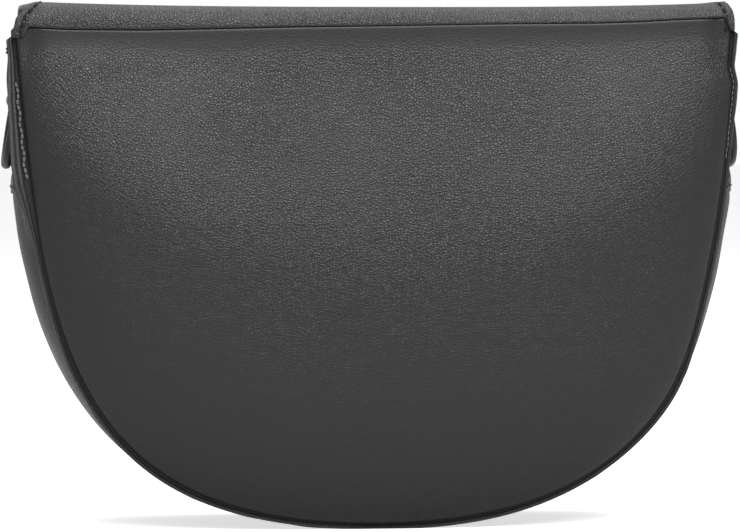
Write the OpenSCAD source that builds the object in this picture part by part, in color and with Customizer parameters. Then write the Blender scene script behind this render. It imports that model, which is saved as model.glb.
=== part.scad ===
// Saddle handbag: two stuffed D-shaped panels, a gusset between them and a flap over the top and front.
// X runs across the bag, +Y points out of the back panel, Z is up, and the base rests on Z = 0.

/* [Body] */
// Width between the side seams at the top
body_w = 250; // [200:1:300]
// Height of the bag over the flap
bag_h = 180; // [150:1:200]
// How far the seam along the back panel's top lies below the top of the flap
seam_drop = 8; // [7:0.5:10]
// Depth between the seam margins of the two panels
body_d = 50; // [44:1:64]
// How far the gusset's and the front panel's top edge lies below that seam
gusset_drop = 5; // [4:0.5:8]
// How far the raw edge of the seam stands out beyond the stitch line
lip_w = 1.9; // [1:0.1:3]
// How far the back panel swells out of its seam
back_bulge = 12; // [8:0.5:14]
// How far the front panel swells out of its seam
front_bulge = 8; // [5:0.5:9]
// How much narrower the seam's guide line is at the side than at the top
side_lean = 9.5; // [4:0.5:14]
// Height of the middle of the swell
swell_h = 95; // [85:1:105]

/* [Layers] */
// Thickness of the outer leather
leather_t = 1.2; // [1:0.1:1.4]
// Thickness of the lining cloth
lining_t = 0.6; // [0.4:0.1:0.8]
// Thickness of the foam behind each panel
padding_t = 2; // [1:0.1:2.4]
// Space that glue and stitching take between two layers
layer_gap = 0.2; // [0.15:0.05:0.3]

/* [Gusset] */
// How far the gusset swells out at mid depth
gusset_swell = 6.5; // [3:0.5:8]
// How far the strap tabs draw the gusset in near its top
gusset_recess = 5; // [3:0.5:6]
// How far below the gusset's top it is drawn in all the way
recess_drop = 21; // [17:1:25]
// How far below the gusset's top the swell is complete
swell_top_drop = 55; // [49:1:63]
// How far below the gusset's top the swell starts to fade
swell_low_drop = 72; // [67:1:87]
// Thickness of the board in the base
board_t = 1.2; // [0.8:0.1:1.4]

/* [Flap] */
// Width of the flap across the top
flap_w = 243; // [200:1:246]
// Height of the flap's lowest edge
flap_tip_h = 12; // [10:1:60]
// How far the fold line along the front lies below the top of the flap
fold_drop = 10; // [9:0.5:11.5]
// Outer radius of the roll along the back of the top
back_roll_r = 5.2; // [3:0.1:7]
// Outer radius of the roll along the front of the top
front_roll_r = 9.5; // [6:0.5:9.5]
// Thickness of the flap's stiffener
stiffener_t = 1.2; // [1:0.1:1.3]
// Thickness of the flap's backing
backing_t = 0.8; // [0.6:0.1:1]
// Running space between the flap and the front panel
flap_clearance = 1; // [0.8:0.1:1.5]

/* [Closure] */
// Radius of each hidden magnet
magnet_r = 7; // [5:0.5:8]
// Thickness of each hidden magnet
magnet_t = 0.8; // [0.6:0.1:0.9]
// Height of the magnets
magnet_h = 50; // [44:1:95]

/* [Strap rings] */
// Inner width of the D ring
ring_w = 25; // [20:1:28]
// Inner height of the D ring
ring_h = 18.8; // [16:0.1:20]
// Wire radius of the D ring
wire_r = 1.7; // [1.5:0.1:1.8]
// How far the ring's pivot lies below the gusset's top
pivot_drop = 20; // [18:0.5:22]
// Lean of the hanging ring, out from the vertical
ring_lean_deg = 9.3; // [7:0.1:12]
// Length of the strap tab above the pivot
tab_l = 10; // [8:0.5:12]
// Thickness of the tab's loop
tab_t = 1.1; // [0.9:0.1:1.2]
// Space between the ring's wire and the tab's loop
loop_clearance = 0.25; // [0.2:0.05:0.3]

/* [Pockets] */
// Length of the zip opening
zip_l = 150; // [120:1:160]
// Height of the zip opening
zip_slot_h = 10; // [9.5:0.5:11]
// How far the zip's middle line lies below the seam of the back panel
zip_drop = 24; // [22:0.5:25]
// Width of the zip's chain of teeth
chain_w = 5; // [4:0.1:5.4]
// Thickness of the chain of teeth
chain_t = 1.5; // [1.2:0.1:1.6]
// Width of the open pocket
pocket_w = 152; // [150:1:160]
// How far the pockets reach below the gusset's top
pocket_drop = 103; // [87:1:107]
// Room inside the open pocket, front to back
slip_room = 5.5; // [5:0.1:7]
// How far the open pocket's mouth lies below the gusset's top
slip_mouth_drop = 35; // [31:1:57]

/* [Hidden] */

leather_color = "#2b2a2d";
lining_color = "#3a3836";
foam_color = "#8f8d88";
board_color = "#6f675c";
metal_color = "#5d5d62";

round_steps = 48;
running = 0.3;
overrun = 1;

// Seam line of one half: one cubic curve from the bottom centre to the top of the side
half_w = body_w / 2;
seam_h = bag_h - seam_drop;
gusset_h = seam_h - gusset_drop;
recess_h = gusset_h - recess_drop;
swell_top_h = gusset_h - swell_top_drop;
swell_low_h = gusset_h - swell_low_drop;
flap_fold_h = bag_h - fold_drop;
pivot_h = gusset_h - pivot_drop;
zip_z = seam_h - zip_drop;
pocket_base_h = gusset_h - pocket_drop;
slip_mouth_h = gusset_h - slip_mouth_drop;
bottom_share = 0.89;
side_share = 0.6;
rest_trim = 0.5;
seam_base_h = lip_w - rest_trim;
seam_rise = seam_h - seam_base_h;
SEAM = [
    [0, seam_base_h],
    [bottom_share * half_w, seam_base_h],
    [half_w - side_lean, seam_base_h + (1 - side_share) * seam_rise],
    [half_w, seam_h]
];

function cubic(c, t) =
    pow(1 - t, 3) * c[0] + 3 * pow(1 - t, 2) * t * c[1] + 3 * (1 - t) * t * t * c[2] + pow(t, 3) * c[3];
function cubic_slope(c, t) =
    pow(1 - t, 2) * (c[1] - c[0]) + 2 * (1 - t) * t * (c[2] - c[1]) + t * t * (c[3] - c[2]);
function unit(v) = v / norm(v);
function outward(c, t) = let (d = unit(cubic_slope(c, t))) [d[1], -d[0]];
function smooth(x) = let (s = min(1, max(0, x))) s * s * (3 - 2 * s);

// Share of the curve at which it reaches a height, by halving
halvings = 24;
function share_at(c, height, low = 0, high = 1, left = halvings) =
    left == 0 ? (low + high) / 2 :
    let (mid = (low + high) / 2, above = cubic(c, mid)[1] < height)
    share_at(c, height, above ? mid : low, above ? high : mid, left - 1);

// Stations along the seam, counted from the bottom centre; negative ones are on the -X side
seam_steps = 22;
gusset_end_share = share_at(SEAM, gusset_h);
function station_share(i) = abs(i) / seam_steps * gusset_end_share;
function side_of(i) = i < 0 ? -1 : 1;
function seam_point(share, side, out) =
    let (p = cubic(SEAM, share), n = outward(SEAM, share)) [side * (p[0] + out * n[0]), p[1] + out * n[1]];

// Two triangles for each four neighbours; the diagonal turns halfway, so that layers lie flat on each other
function quad(a, b, c, d, turned) = turned ? [[a, b, d], [b, c, d]] : [[a, b, c], [a, c, d]];
function pole_faces(first, pole, n, turned) = [
    for (i = [0 : n - 1])
        let (a = first + i, b = first + (i + 1) % n)
        turned ? [b, a, pole] : [a, b, pole]
];

// A closed skin through loops of points, with a pole at each end
module skin(loops, pole_a, pole_b) {
    n = len(loops[0]);
    count = len(loops);
    points = [for (loop = loops) each loop];
    sides = [
        for (k = [0 : count - 2])
            for (i = [0 : n - 1])
                let (a = k * n + i, b = k * n + (i + 1) % n)
                each quad(a, a + n, b + n, b, k >= count / 2)
    ];
    faces = concat(
        sides,
        pole_faces(0, count * n, n, false),
        pole_faces((count - 1) * n, count * n + 1, n, true)
    );
    polyhedron(concat(points, [pole_a, pole_b]), faces);
}

// A closed solid swept through sections, each of them one row of points out and one row back
module sweep(sections) {
    n = len(sections[0]);
    count = len(sections);
    points = [for (section = sections) each section];
    sides = [
        for (k = [0 : count - 2])
            for (i = [0 : n - 1])
                let (a = k * n + i, b = k * n + (i + 1) % n)
                each quad(a, a + n, b + n, b, i >= n / 2)
    ];
    last = (count - 1) * n;
    ends = [
        for (i = [0 : n / 2 - 2])
            let (a = i, b = i + 1, c = n - 2 - i, d = n - 1 - i)
            each [[a, b, c], [a, c, d], [last + c, last + b, last + a], [last + d, last + c, last + a]]
    ];
    polyhedron(points, concat(sides, ends));
}

// D-shaped panels

panel_foot = 1.2;
top_margin = 5;
top_lip = 1.5;
across_steps = 8;
ring_shares = [1, 0.955, 0.89, 0.8, 0.68, 0.5, 0.26];
swell_rim_share = 0.416667;
swell_root_share = 0.62;
panel_y = body_d / 2 + layer_gap;
centre = [0, swell_h];

function swell(share) = pow(1 - pow(share, 1 / swell_rim_share), swell_root_share);

// The panel's edge, "out" beyond the seam; the top line keeps its own margin
function panel_edge(tall, out, top_out) =
    let (
        top_share = tall ? 1 : gusset_end_share,
        top_h = tall ? seam_h : gusset_h,
        corner = cubic(SEAM, top_share)[0] + out,
        left = [for (i = [-seam_steps : -1]) seam_point(station_share(i), -1, out)],
        right = [for (i = [0 : seam_steps]) seam_point(station_share(i), 1, out)],
        last = tall ? [seam_point(1, 1, out)] : [],
        first = tall ? [seam_point(1, -1, out)] : [],
        ring = concat(first, left, right, last),
        fade = 3 * top_margin,
        lowered = [for (p = ring) [p[0], p[1] + top_out * max(0, 1 - (top_h - p[1]) / fade)]],
        across = [for (j = [1 : across_steps - 1]) [corner * (1 - 2 * j / across_steps), top_h + top_out]]
    )
    concat(lowered, across);

function shrunk(edge, share) = [for (p = edge) centre + share * (p - centre)];
function rest_on_base(p) = [p[0], max(0, p[1])];
function raised(edge, y) = [for (p = edge) let (q = rest_on_base(p)) [q[0], y, q[1]]];

// One layer of a panel, from "inner" to "inner + thick" off the seam plane, on the +Y side
module panel_layer(tall, bulge, inner, thick, first_ring, with_margin) {
    foot = panel_edge(tall, -panel_foot, -top_margin);
    face = [
        for (k = [len(ring_shares) - 1 : -1 : first_ring])
            raised(shrunk(foot, ring_shares[k]), inner + thick + bulge * swell(ring_shares[k]))
    ];
    back = [
        for (k = [first_ring : len(ring_shares) - 1])
            raised(shrunk(foot, ring_shares[k]), inner + bulge * swell(ring_shares[k]))
    ];
    seam_line = panel_edge(tall, 0, -top_lip);
    tip = panel_edge(tall, lip_w, 0);
    margin = with_margin ? [
        raised(seam_line, inner + thick),
        raised(tip, inner + thick),
        raised(tip, inner),
        raised(seam_line, inner)
    ] : [];
    loops = concat(face, margin, back);
    skin(loops, [0, inner + thick + bulge, swell_h], [0, inner + bulge, swell_h]);
}

foot_low = seam_base_h + panel_foot;
padding_y = panel_y - layer_gap - padding_t;
magnet_y = padding_y + padding_t / 2;
lining_y = padding_y - layer_gap - lining_t;

module back_panel() {
    color(leather_color)
        panel_layer(true, back_bulge, panel_y, leather_t, 0, true);
}

// The front panel is the same shape turned to face -Y, lower at the top
module front_panel() {
    color(leather_color)
        mirror([0, 1, 0])
            panel_layer(false, front_bulge, panel_y, leather_t, 0, true);
}

function rise_at(height, low, bulge) = bulge * swell(abs(swell_h - height) / (swell_h - low));
function tilt_at(height, low, bulge) =
    let (above = rise_at(height + magnet_r, low, bulge), below = rise_at(height - magnet_r, low, bulge))
    atan((above - below) / (2 * magnet_r));

// A disc that lies along a swollen layer at the magnets' height, on the +Y side
module disc_in_layer(y, low, bulge, r, thick) {
    translate([0, y + rise_at(magnet_h, low, bulge), magnet_h])
        rotate([90 - tilt_at(magnet_h, low, bulge), 0, 0])
            cylinder(h = thick, r = r, center = true, $fn = round_steps);
}

module back_padding() {
    color(foam_color)
        panel_layer(true, back_bulge, padding_y, padding_t, 1, false);
}

module front_padding() {
    color(foam_color)
        mirror([0, 1, 0])
            difference() {
                panel_layer(false, front_bulge, padding_y, padding_t, 1, false);
                disc_in_layer(magnet_y, foot_low, front_bulge, magnet_r + running, 3 * padding_t);
            }
}

module panel_magnet() {
    color(metal_color)
        mirror([0, 1, 0])
            disc_in_layer(magnet_y, foot_low, front_bulge, magnet_r, magnet_t);
}

module back_lining() {
    color(lining_color)
        panel_layer(true, back_bulge, lining_y, lining_t, 1, false);
}

module front_lining() {
    color(lining_color)
        mirror([0, 1, 0])
            panel_layer(false, front_bulge, lining_y, lining_t, 1, false);
}

// Gusset and what follows it

web_shares = [-1, -0.75, -0.5, -0.25, 0, 0.25, 0.5, 0.75, 1];
web_power_share = 4;
base_swell_share = 0.2;
flange_y = body_d / 2;
web_y = flange_y - leather_t;

function upper_rise(height) =
    (gusset_swell + gusset_recess) * smooth((recess_h - height) / (recess_h - swell_top_h)) - gusset_recess;
function lower_rise(height) =
    gusset_swell * (base_swell_share + (1 - base_swell_share) * smooth(height / swell_low_h));
function gusset_rise(height) = height > swell_low_h ? upper_rise(height) : lower_rise(height);

// A point of the gusset's web: v runs from -1 at the front to 1 at the back
function web_point(i, v, out) =
    let (
        share = station_share(i),
        swollen = out + gusset_rise(cubic(SEAM, share)[1]) * (1 - pow(v, web_power_share)),
        p = seam_point(share, side_of(i), swollen)
    )
    [p[0], v * web_y, max(0, p[1])];
function flange_point(i, y, out) =
    let (p = rest_on_base(seam_point(station_share(i), side_of(i), out)))
    [p[0], y, p[1]];

function gusset_section(i) = concat(
    [flange_point(i, -web_y, lip_w)],
    [for (v = web_shares) web_point(i, v, 0)],
    [flange_point(i, web_y, lip_w)],
    [flange_point(i, flange_y, lip_w), flange_point(i, flange_y, -leather_t)],
    [for (k = [len(web_shares) - 2 : -1 : 1]) web_point(i, web_shares[k], -leather_t)],
    [flange_point(i, -flange_y, -leather_t), flange_point(i, -flange_y, lip_w)]
);

// A strip of the web from "inner" to "outer" off the seam line, over part of its depth
function strip_section(i, inner, outer, depth_share) = concat(
    [for (v = web_shares) web_point(i, v * depth_share, outer)],
    [for (k = [len(web_shares) - 1 : -1 : 0]) web_point(i, web_shares[k] * depth_share, inner)]
);
module strip(first, last, inner, outer, depth_share) {
    sweep([for (i = [first : last]) strip_section(i, inner, outer, depth_share)]);
}

module gusset() {
    color(leather_color)
        sweep([for (i = [-seam_steps : seam_steps]) gusset_section(i)]);
}

board_out = -leather_t - layer_gap;
board_steps = 8;
board_depth_share = 0.96;
lining_depth_share = 0.98;
gusset_lining_out = board_out - board_t - layer_gap;

module base_board() {
    color(board_color)
        strip(-board_steps, board_steps, board_out - board_t, board_out, board_depth_share);
}

module gusset_lining() {
    color(lining_color)
        strip(-seam_steps, seam_steps, gusset_lining_out - lining_t, gusset_lining_out, lining_depth_share);
}

patch_t = 1;
patch_out = layer_gap;
patch_depth_share = 0.99;
patch_first_step = 18;
patch_last_step = 21;

module gusset_patch_right() {
    color(leather_color)
        strip(patch_first_step, patch_last_step, patch_out, patch_out + patch_t, patch_depth_share);
}

module gusset_patch_left() {
    color(leather_color)
        strip(-patch_last_step, -patch_first_step, patch_out, patch_out + patch_t, patch_depth_share);
}

// Strap tabs and rings

loop_r = wire_r + loop_clearance;
tab_side_gap = 0.7;
tab_w = ring_w - 2 * tab_side_gap;
tab_end_v = tab_w / 2 / web_y;
patch_reach = [
    for (i = [patch_last_step - 1, patch_last_step])
        web_point(i, tab_end_v, patch_out + patch_t)[0]
];
tab_back_x = max(patch_reach) + layer_gap;
pivot_x = tab_back_x + tab_t + loop_r;
ring_arc_r = ring_w / 2 + wire_r;
ring_leg = ring_h + wire_r - ring_w / 2;
tab_wedge_share = 0.8;
tab_wedge_deg = 45;

module strap_tab() {
    translate([pivot_x, tab_w / 2, pivot_h])
        rotate([90, 0, 0])
            linear_extrude(tab_w)
                difference() {
                    union() {
                        circle(loop_r + tab_t, $fn = round_steps);
                        translate([-loop_r - tab_t, 0])
                            square([2 * tab_t, tab_l]);
                        polygon([
                            [tab_t - loop_r, 0],
                            [loop_r * cos(tab_wedge_deg), (loop_r + tab_t) * sin(tab_wedge_deg)],
                            [tab_t - loop_r, tab_wedge_share * tab_l]
                        ]);
                    }
                    circle(loop_r, $fn = round_steps);
                }
}

module d_ring() {
    translate([pivot_x, 0, pivot_h])
        rotate([0, -ring_lean_deg, 0]) {
            rotate([90, 0, 0])
                cylinder(h = 2 * ring_arc_r, r = wire_r, center = true, $fn = round_steps);
            for (side = [-1, 1]) {
                translate([0, side * ring_arc_r, 0])
                    sphere(wire_r, $fn = round_steps);
                translate([0, side * ring_arc_r, -ring_leg])
                    cylinder(h = ring_leg, r = wire_r, $fn = round_steps);
            }
            translate([0, 0, -ring_leg])
                rotate([0, 90, 0])
                    rotate([0, 0, -90])
                        rotate_extrude(angle = 180, $fn = round_steps)
                            translate([ring_arc_r, 0])
                                circle(wire_r, $fn = round_steps);
        }
}

module strap_tab_right() {
    color(leather_color)
        strap_tab();
}
module strap_tab_left() {
    color(leather_color)
        mirror([1, 0, 0])
            strap_tab();
}
module d_ring_right() {
    color(metal_color)
        d_ring();
}
module d_ring_left() {
    color(metal_color)
        mirror([1, 0, 0])
            d_ring();
}

// Facings and pockets inside the bag

facing_t = 1.2;
facing_side_gap = 9;
facing_w = body_w - 2 * facing_side_gap;
facing_gap = 0.3;
facing_y = body_d / 2 - leather_t - 2 * facing_gap - layer_gap - facing_t;
back_facing_drop = 44;
front_facing_drop = 27;
back_facing_low = seam_h - back_facing_drop;
front_facing_low = gusset_h - front_facing_drop;
facing_top_gap = 1;

module slab(x0, x1, y0, y1, z0, z1) {
    translate([x0, y0, z0])
        cube([x1 - x0, y1 - y0, z1 - z0]);
}

hem_h = 5;
hem_y = panel_y - layer_gap;

// A facing with its top edge turned back against the panel, on the +Y side
module facing(low, top) {
    slab(-facing_w / 2, facing_w / 2, facing_y, facing_y + facing_t, low, top);
    slab(-facing_w / 2, facing_w / 2, facing_y, hem_y, top - hem_h, top);
}

module back_facing() {
    zip_low = zip_z - zip_slot_h / 2;
    color(leather_color)
        difference() {
            facing(back_facing_low, seam_h - facing_top_gap);
            slab(
                -zip_l / 2, zip_l / 2, facing_y - overrun, facing_y + facing_t + overrun,
                zip_low, zip_low + zip_slot_h
            );
        }
}

module front_facing() {
    color(leather_color)
        mirror([0, 1, 0])
            facing(front_facing_low, gusset_h - facing_top_gap);
}

tape_t = 0.5;
tape_w = 9;
tape_split = 0.6;
tape_y = facing_y + facing_t + layer_gap;

module zip_tapes() {
    color(lining_color)
        for (side = [-1, 1])
            translate([0, 0, zip_z + side * (tape_w + tape_split) / 2])
                translate([-zip_l / 2 - overrun, tape_y, -tape_w / 2])
                    cube([zip_l + 2 * overrun, tape_t, tape_w]);
}

// Two combs of teeth that face each other along the middle line
tooth_pitch = 2.5;
tooth_root_share = 0.35;
tooth_fill_share = 0.45;
tooth_count = floor((zip_l - 2 * running) / tooth_pitch);
chain_l = tooth_count * tooth_pitch;
chain_y = tape_y - layer_gap - chain_t;

function comb_points() = concat(
    [[chain_l / 2, -chain_w / 2], [-chain_l / 2, -chain_w / 2]],
    [
        for (i = [0 : tooth_count - 1])
            let (
                x0 = -chain_l / 2 + i * tooth_pitch,
                x1 = x0 + tooth_fill_share * tooth_pitch,
                root = -chain_w / 2 + tooth_root_share * chain_w,
                tip = chain_w / 2 - tooth_root_share * chain_w
            )
            each [[x0, tip], [x1, tip], [x1, root], [x0 + tooth_pitch, root]]
    ]
);

module zip_chain() {
    color(metal_color)
        for (turned = [0, 180])
            translate([0, chain_y + chain_t, zip_z])
                rotate([90, turned, 0])
                    linear_extrude(chain_t)
                        polygon(comb_points());
}

slider_l = 9;
slider_t = 1.2;
slider_wall = 1;
slider_start = zip_l / 2 - slider_l - overrun;
slider_in_w = chain_w + 2 * running;
slider_w = slider_in_w + 2 * slider_wall;
wall_z = (slider_w - slider_wall) / 2;
slider_y = chain_y - running - slider_t;
bridge_r = 0.8;
eye_r = 2.2;
eye_bore_r = bridge_r + running;
eye_l = 3.6;
bridge_y = slider_y - eye_r - running;
bridge_end_t = 1.4;
pull_x = slider_start + slider_l / 2;

module zip_slider() {
    color(metal_color) {
        slab(
            slider_start, slider_start + slider_l, slider_y, slider_y + slider_t,
            zip_z - slider_w / 2, zip_z + slider_w / 2
        );
        for (side = [-1, 1])
            translate([slider_start, slider_y, zip_z + side * wall_z - slider_wall / 2])
                cube([slider_l, slider_t + running + chain_t, slider_wall]);
        for (x0 = [slider_start, slider_start + slider_l - bridge_end_t])
            slab(
                x0, x0 + bridge_end_t, bridge_y - bridge_r, slider_y + slider_t,
                zip_z - bridge_r, zip_z + bridge_r
            );
        translate([slider_start, bridge_y, zip_z])
            rotate([0, 90, 0])
                cylinder(h = slider_l, r = bridge_r, $fn = round_steps);
    }
}

pull_l = 22;
pull_t = 1.4;
pull_end_r = 3.2;

module zip_pull() {
    color(metal_color)
        translate([pull_x, bridge_y, zip_z])
            difference() {
                union() {
                    rotate([0, 90, 0])
                        cylinder(h = eye_l, r = eye_r, center = true, $fn = round_steps);
                    translate([-eye_l / 2, -pull_t / 2, -pull_l])
                        cube([eye_l, pull_t, pull_l]);
                    translate([0, pull_t / 2, -pull_l])
                        rotate([90, 0, 0])
                            cylinder(h = pull_t, r = pull_end_r, $fn = round_steps);
                }
                rotate([0, 90, 0])
                    cylinder(h = eye_l + 2 * overrun, r = eye_bore_r, center = true, $fn = round_steps);
            }
}

cloth_t = 0.5;
zip_room = 2;
zip_pocket_y = tape_y + tape_t + facing_gap;
zip_pocket_top = zip_z + tape_w - running;
zip_pocket_w = zip_l + 2 * overrun;

module zip_pocket() {
    half = zip_pocket_w / 2;
    slot_half = zip_l / 2 - 2 * cloth_t;
    back_y = zip_pocket_y + zip_room + 2 * cloth_t;
    front_y = zip_pocket_y + cloth_t;
    zip_low = zip_z - zip_slot_h / 2;
    color(lining_color)
        difference() {
            slab(-half, half, zip_pocket_y, back_y, pocket_base_h, zip_pocket_top);
            slab(
                cloth_t - half, half - cloth_t, front_y, back_y - cloth_t,
                pocket_base_h + cloth_t, zip_pocket_top - cloth_t
            );
            slab(
                -slot_half, slot_half, zip_pocket_y - overrun, front_y + overrun,
                zip_low, zip_low + zip_slot_h
            );
        }
}

// The open pocket hangs from the front facing, its mouth below the facing
slip_lap = 7;
slip_y = -facing_y - facing_t - facing_gap - cloth_t;
slip_top = front_facing_low + slip_lap;

module slip_pocket() {
    half = pocket_w / 2;
    outer_y = slip_y + cloth_t;
    inner_y = outer_y + slip_room;
    color(lining_color) {
        slab(-half, half, slip_y, outer_y, pocket_base_h, slip_top);
        slab(-half, half, inner_y, inner_y + cloth_t, pocket_base_h, slip_mouth_h);
        slab(-half, half, slip_y, inner_y + cloth_t, pocket_base_h, pocket_base_h + cloth_t);
        for (x0 = [-half, half - cloth_t])
            slab(x0, x0 + cloth_t, slip_y, inner_y + cloth_t, pocket_base_h, slip_mouth_h);
    }
}

// Flap: a fixed root on the back panel, a part over the top and a part down the front

root_y = panel_y + leather_t + facing_gap;
root_low = seam_h - top_margin + overrun;
fold_gap = 0.3;
root_top = bag_h - back_roll_r - fold_gap;

module flap_root() {
    color(leather_color)
        slab(-flap_w / 2, flap_w / 2, root_y, root_y + leather_t, root_low, root_top);
}

flap_t = leather_t + stiffener_t + backing_t + 2 * layer_gap;
flap_edge_rise = 2.6;
flap_edge_y = panel_y + leather_t + flap_edge_rise + flap_clearance;
flap_swell = front_bulge - flap_edge_rise;
flap_front_y = flap_edge_y + flap_t;
arc_steps = 10;

function arc(cy, cz, r, from, to) =
    [
        for (i = [0 : arc_steps])
            let (a = from + (to - from) * i / arc_steps)
            [cy + r * cos(a), cz + r * sin(a)]
    ];

// Side view of one layer of the flap's top, "depth" inside its outer face, as [y, z] from back to front
function top_line(depth) = concat(
    [[root_y + leather_t - depth, root_top + fold_gap]],
    arc(root_y + leather_t - back_roll_r, root_top + fold_gap, back_roll_r - depth, 0, 90),
    arc(front_roll_r - flap_front_y, bag_h - front_roll_r, front_roll_r - depth, 90, 180),
    [[depth - flap_front_y, flap_fold_h]]
);

module top_layer(outer, inner, w) {
    under = top_line(inner);
    translate([-w / 2, 0, 0])
        rotate([90, 0, 90])
            linear_extrude(w)
                polygon(concat(top_line(outer), [for (k = [len(under) - 1 : -1 : 0]) under[k]]));
}

edge_turn = 1.5;
backing_in = leather_t + layer_gap;

module flap_top_leather() {
    color(leather_color)
        top_layer(0, leather_t, flap_w);
}

module flap_top_backing() {
    color(lining_color)
        top_layer(backing_in, backing_in + backing_t, flap_w - 2 * edge_turn);
}

flap_half = flap_w / 2;
flap_top_h = flap_fold_h - fold_gap;
flap_steps = 18;
flap_ring_shares = [1, 0.985, 0.94, 0.84, 0.68, 0.46, 0.22];

FLAP_CURVE = [
    [0, flap_tip_h],
    [bottom_share * flap_half, flap_tip_h],
    [flap_half - side_lean, flap_tip_h + (1 - side_share) * (flap_top_h - flap_tip_h)],
    [flap_half, flap_top_h]
];
FLAP_EDGE = concat(
    [
        for (i = [-flap_steps : flap_steps])
            let (p = cubic(FLAP_CURVE, abs(i) / flap_steps))
            [side_of(i) * p[0], p[1]]
    ],
    [for (j = [1 : across_steps - 1]) [flap_half * (1 - 2 * j / across_steps), flap_top_h]]
);

// One layer of the flap's front from "outer" to "inner" behind its outer face, on the +Y side
module flap_layer(outer, inner, first_ring) {
    last = len(flap_ring_shares) - 1;
    face = [
        for (k = [last : -1 : first_ring])
            let (share = flap_ring_shares[k])
            raised(shrunk(FLAP_EDGE, share), flap_front_y - outer + flap_swell * swell(share))
    ];
    back = [
        for (k = [first_ring : last])
            let (share = flap_ring_shares[k])
            raised(shrunk(FLAP_EDGE, share), flap_front_y - inner + flap_swell * swell(share))
    ];
    skin(
        concat(face, back),
        [0, flap_front_y - outer + flap_swell, swell_h],
        [0, flap_front_y - inner + flap_swell, swell_h]
    );
}

stiffener_in = leather_t + layer_gap;
front_backing_in = stiffener_in + stiffener_t + layer_gap;

module flap_front_leather() {
    color(leather_color)
        mirror([0, 1, 0])
            flap_layer(0, leather_t, 0);
}

stiffener_y = flap_front_y - stiffener_in - stiffener_t / 2;

module flap_front_stiffener() {
    color(board_color)
        mirror([0, 1, 0])
            difference() {
                flap_layer(stiffener_in, stiffener_in + stiffener_t, 2);
                disc_in_layer(stiffener_y, flap_tip_h, flap_swell, magnet_r + running, 3 * stiffener_t);
            }
}

module flap_magnet() {
    color(metal_color)
        mirror([0, 1, 0])
            disc_in_layer(stiffener_y, flap_tip_h, flap_swell, magnet_r, magnet_t);
}

module flap_front_backing() {
    color(lining_color)
        mirror([0, 1, 0])
            flap_layer(front_backing_in, flap_t, 1);
}

back_panel();
front_panel();
gusset();
back_padding();
front_padding();
back_lining();
front_lining();
gusset_lining();
base_board();
back_facing();
front_facing();
gusset_patch_left();
gusset_patch_right();
strap_tab_left();
strap_tab_right();
d_ring_left();
d_ring_right();
zip_tapes();
zip_chain();
zip_slider();
zip_pull();
zip_pocket();
slip_pocket();
panel_magnet();
flap_root();
flap_top_leather();
flap_top_backing();
flap_front_leather();
flap_front_stiffener();
flap_front_backing();
flap_magnet();
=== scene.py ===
import math

import bmesh
import bpy
import numpy as np
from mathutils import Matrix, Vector


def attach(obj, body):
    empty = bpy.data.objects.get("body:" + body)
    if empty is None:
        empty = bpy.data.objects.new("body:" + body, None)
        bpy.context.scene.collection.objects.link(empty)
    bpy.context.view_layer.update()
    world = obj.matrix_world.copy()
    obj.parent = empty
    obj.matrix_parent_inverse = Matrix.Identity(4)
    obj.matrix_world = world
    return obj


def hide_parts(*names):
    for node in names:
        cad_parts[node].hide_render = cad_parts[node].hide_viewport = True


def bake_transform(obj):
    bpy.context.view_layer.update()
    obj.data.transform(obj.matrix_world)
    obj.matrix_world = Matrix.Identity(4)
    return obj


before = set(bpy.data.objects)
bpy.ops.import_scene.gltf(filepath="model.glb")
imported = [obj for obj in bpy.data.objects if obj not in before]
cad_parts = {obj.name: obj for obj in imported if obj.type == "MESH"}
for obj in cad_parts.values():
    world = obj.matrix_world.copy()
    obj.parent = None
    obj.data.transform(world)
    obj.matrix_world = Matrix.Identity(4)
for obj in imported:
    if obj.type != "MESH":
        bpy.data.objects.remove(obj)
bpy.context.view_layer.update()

MM = 0.001


# Sizes in millimetres; X runs across the bag, +Y out of its back, Z up

HALF_W = 125.0
SEAM_TOP = 172.0
GUSSET_TOP = 167.0
SEAM_CURVE = np.array([[0, 1.4], [111.25, 1.4], [115.5, 69.64], [HALF_W, SEAM_TOP]])
FLOOR_GAP = 0.02
FACE_Y = 26.4
LIP = 1.9
LEATHER = 1.2
BACK_BULGE = 13.5
FRONT_BULGE = 7.8
BAG_TOP = 180.0
ROOT_Y = 27.9
FLAP_Y = -33.6
FLAP_HALF = 121.5
STITCH = 3.4

# Heights of the seam along the back's top edge, from the +X side to the -X side
SEAM_LINE_X = [126, 108, 81, 61, 27, -8, -42, -76, -90, -103, -119, -126]
SEAM_LINE_Z = [172.4, 171.3, 171.1, 171.5, 172.3, 172.8, 173.4, 173.7, 174.1, 174.8, 175.4, 175.6]


def smooth(x):
    x = np.clip(x, 0, 1)
    return x * x * (3 - 2 * x)


def bell(x, width):
    return np.exp(-((x / width) ** 2))


def seam_height(x):
    return np.interp(x, SEAM_LINE_X[::-1], SEAM_LINE_Z[::-1])


def unit(v):
    return v / np.maximum(np.linalg.norm(v, axis=-1, keepdims=True), 1e-9)


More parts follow.
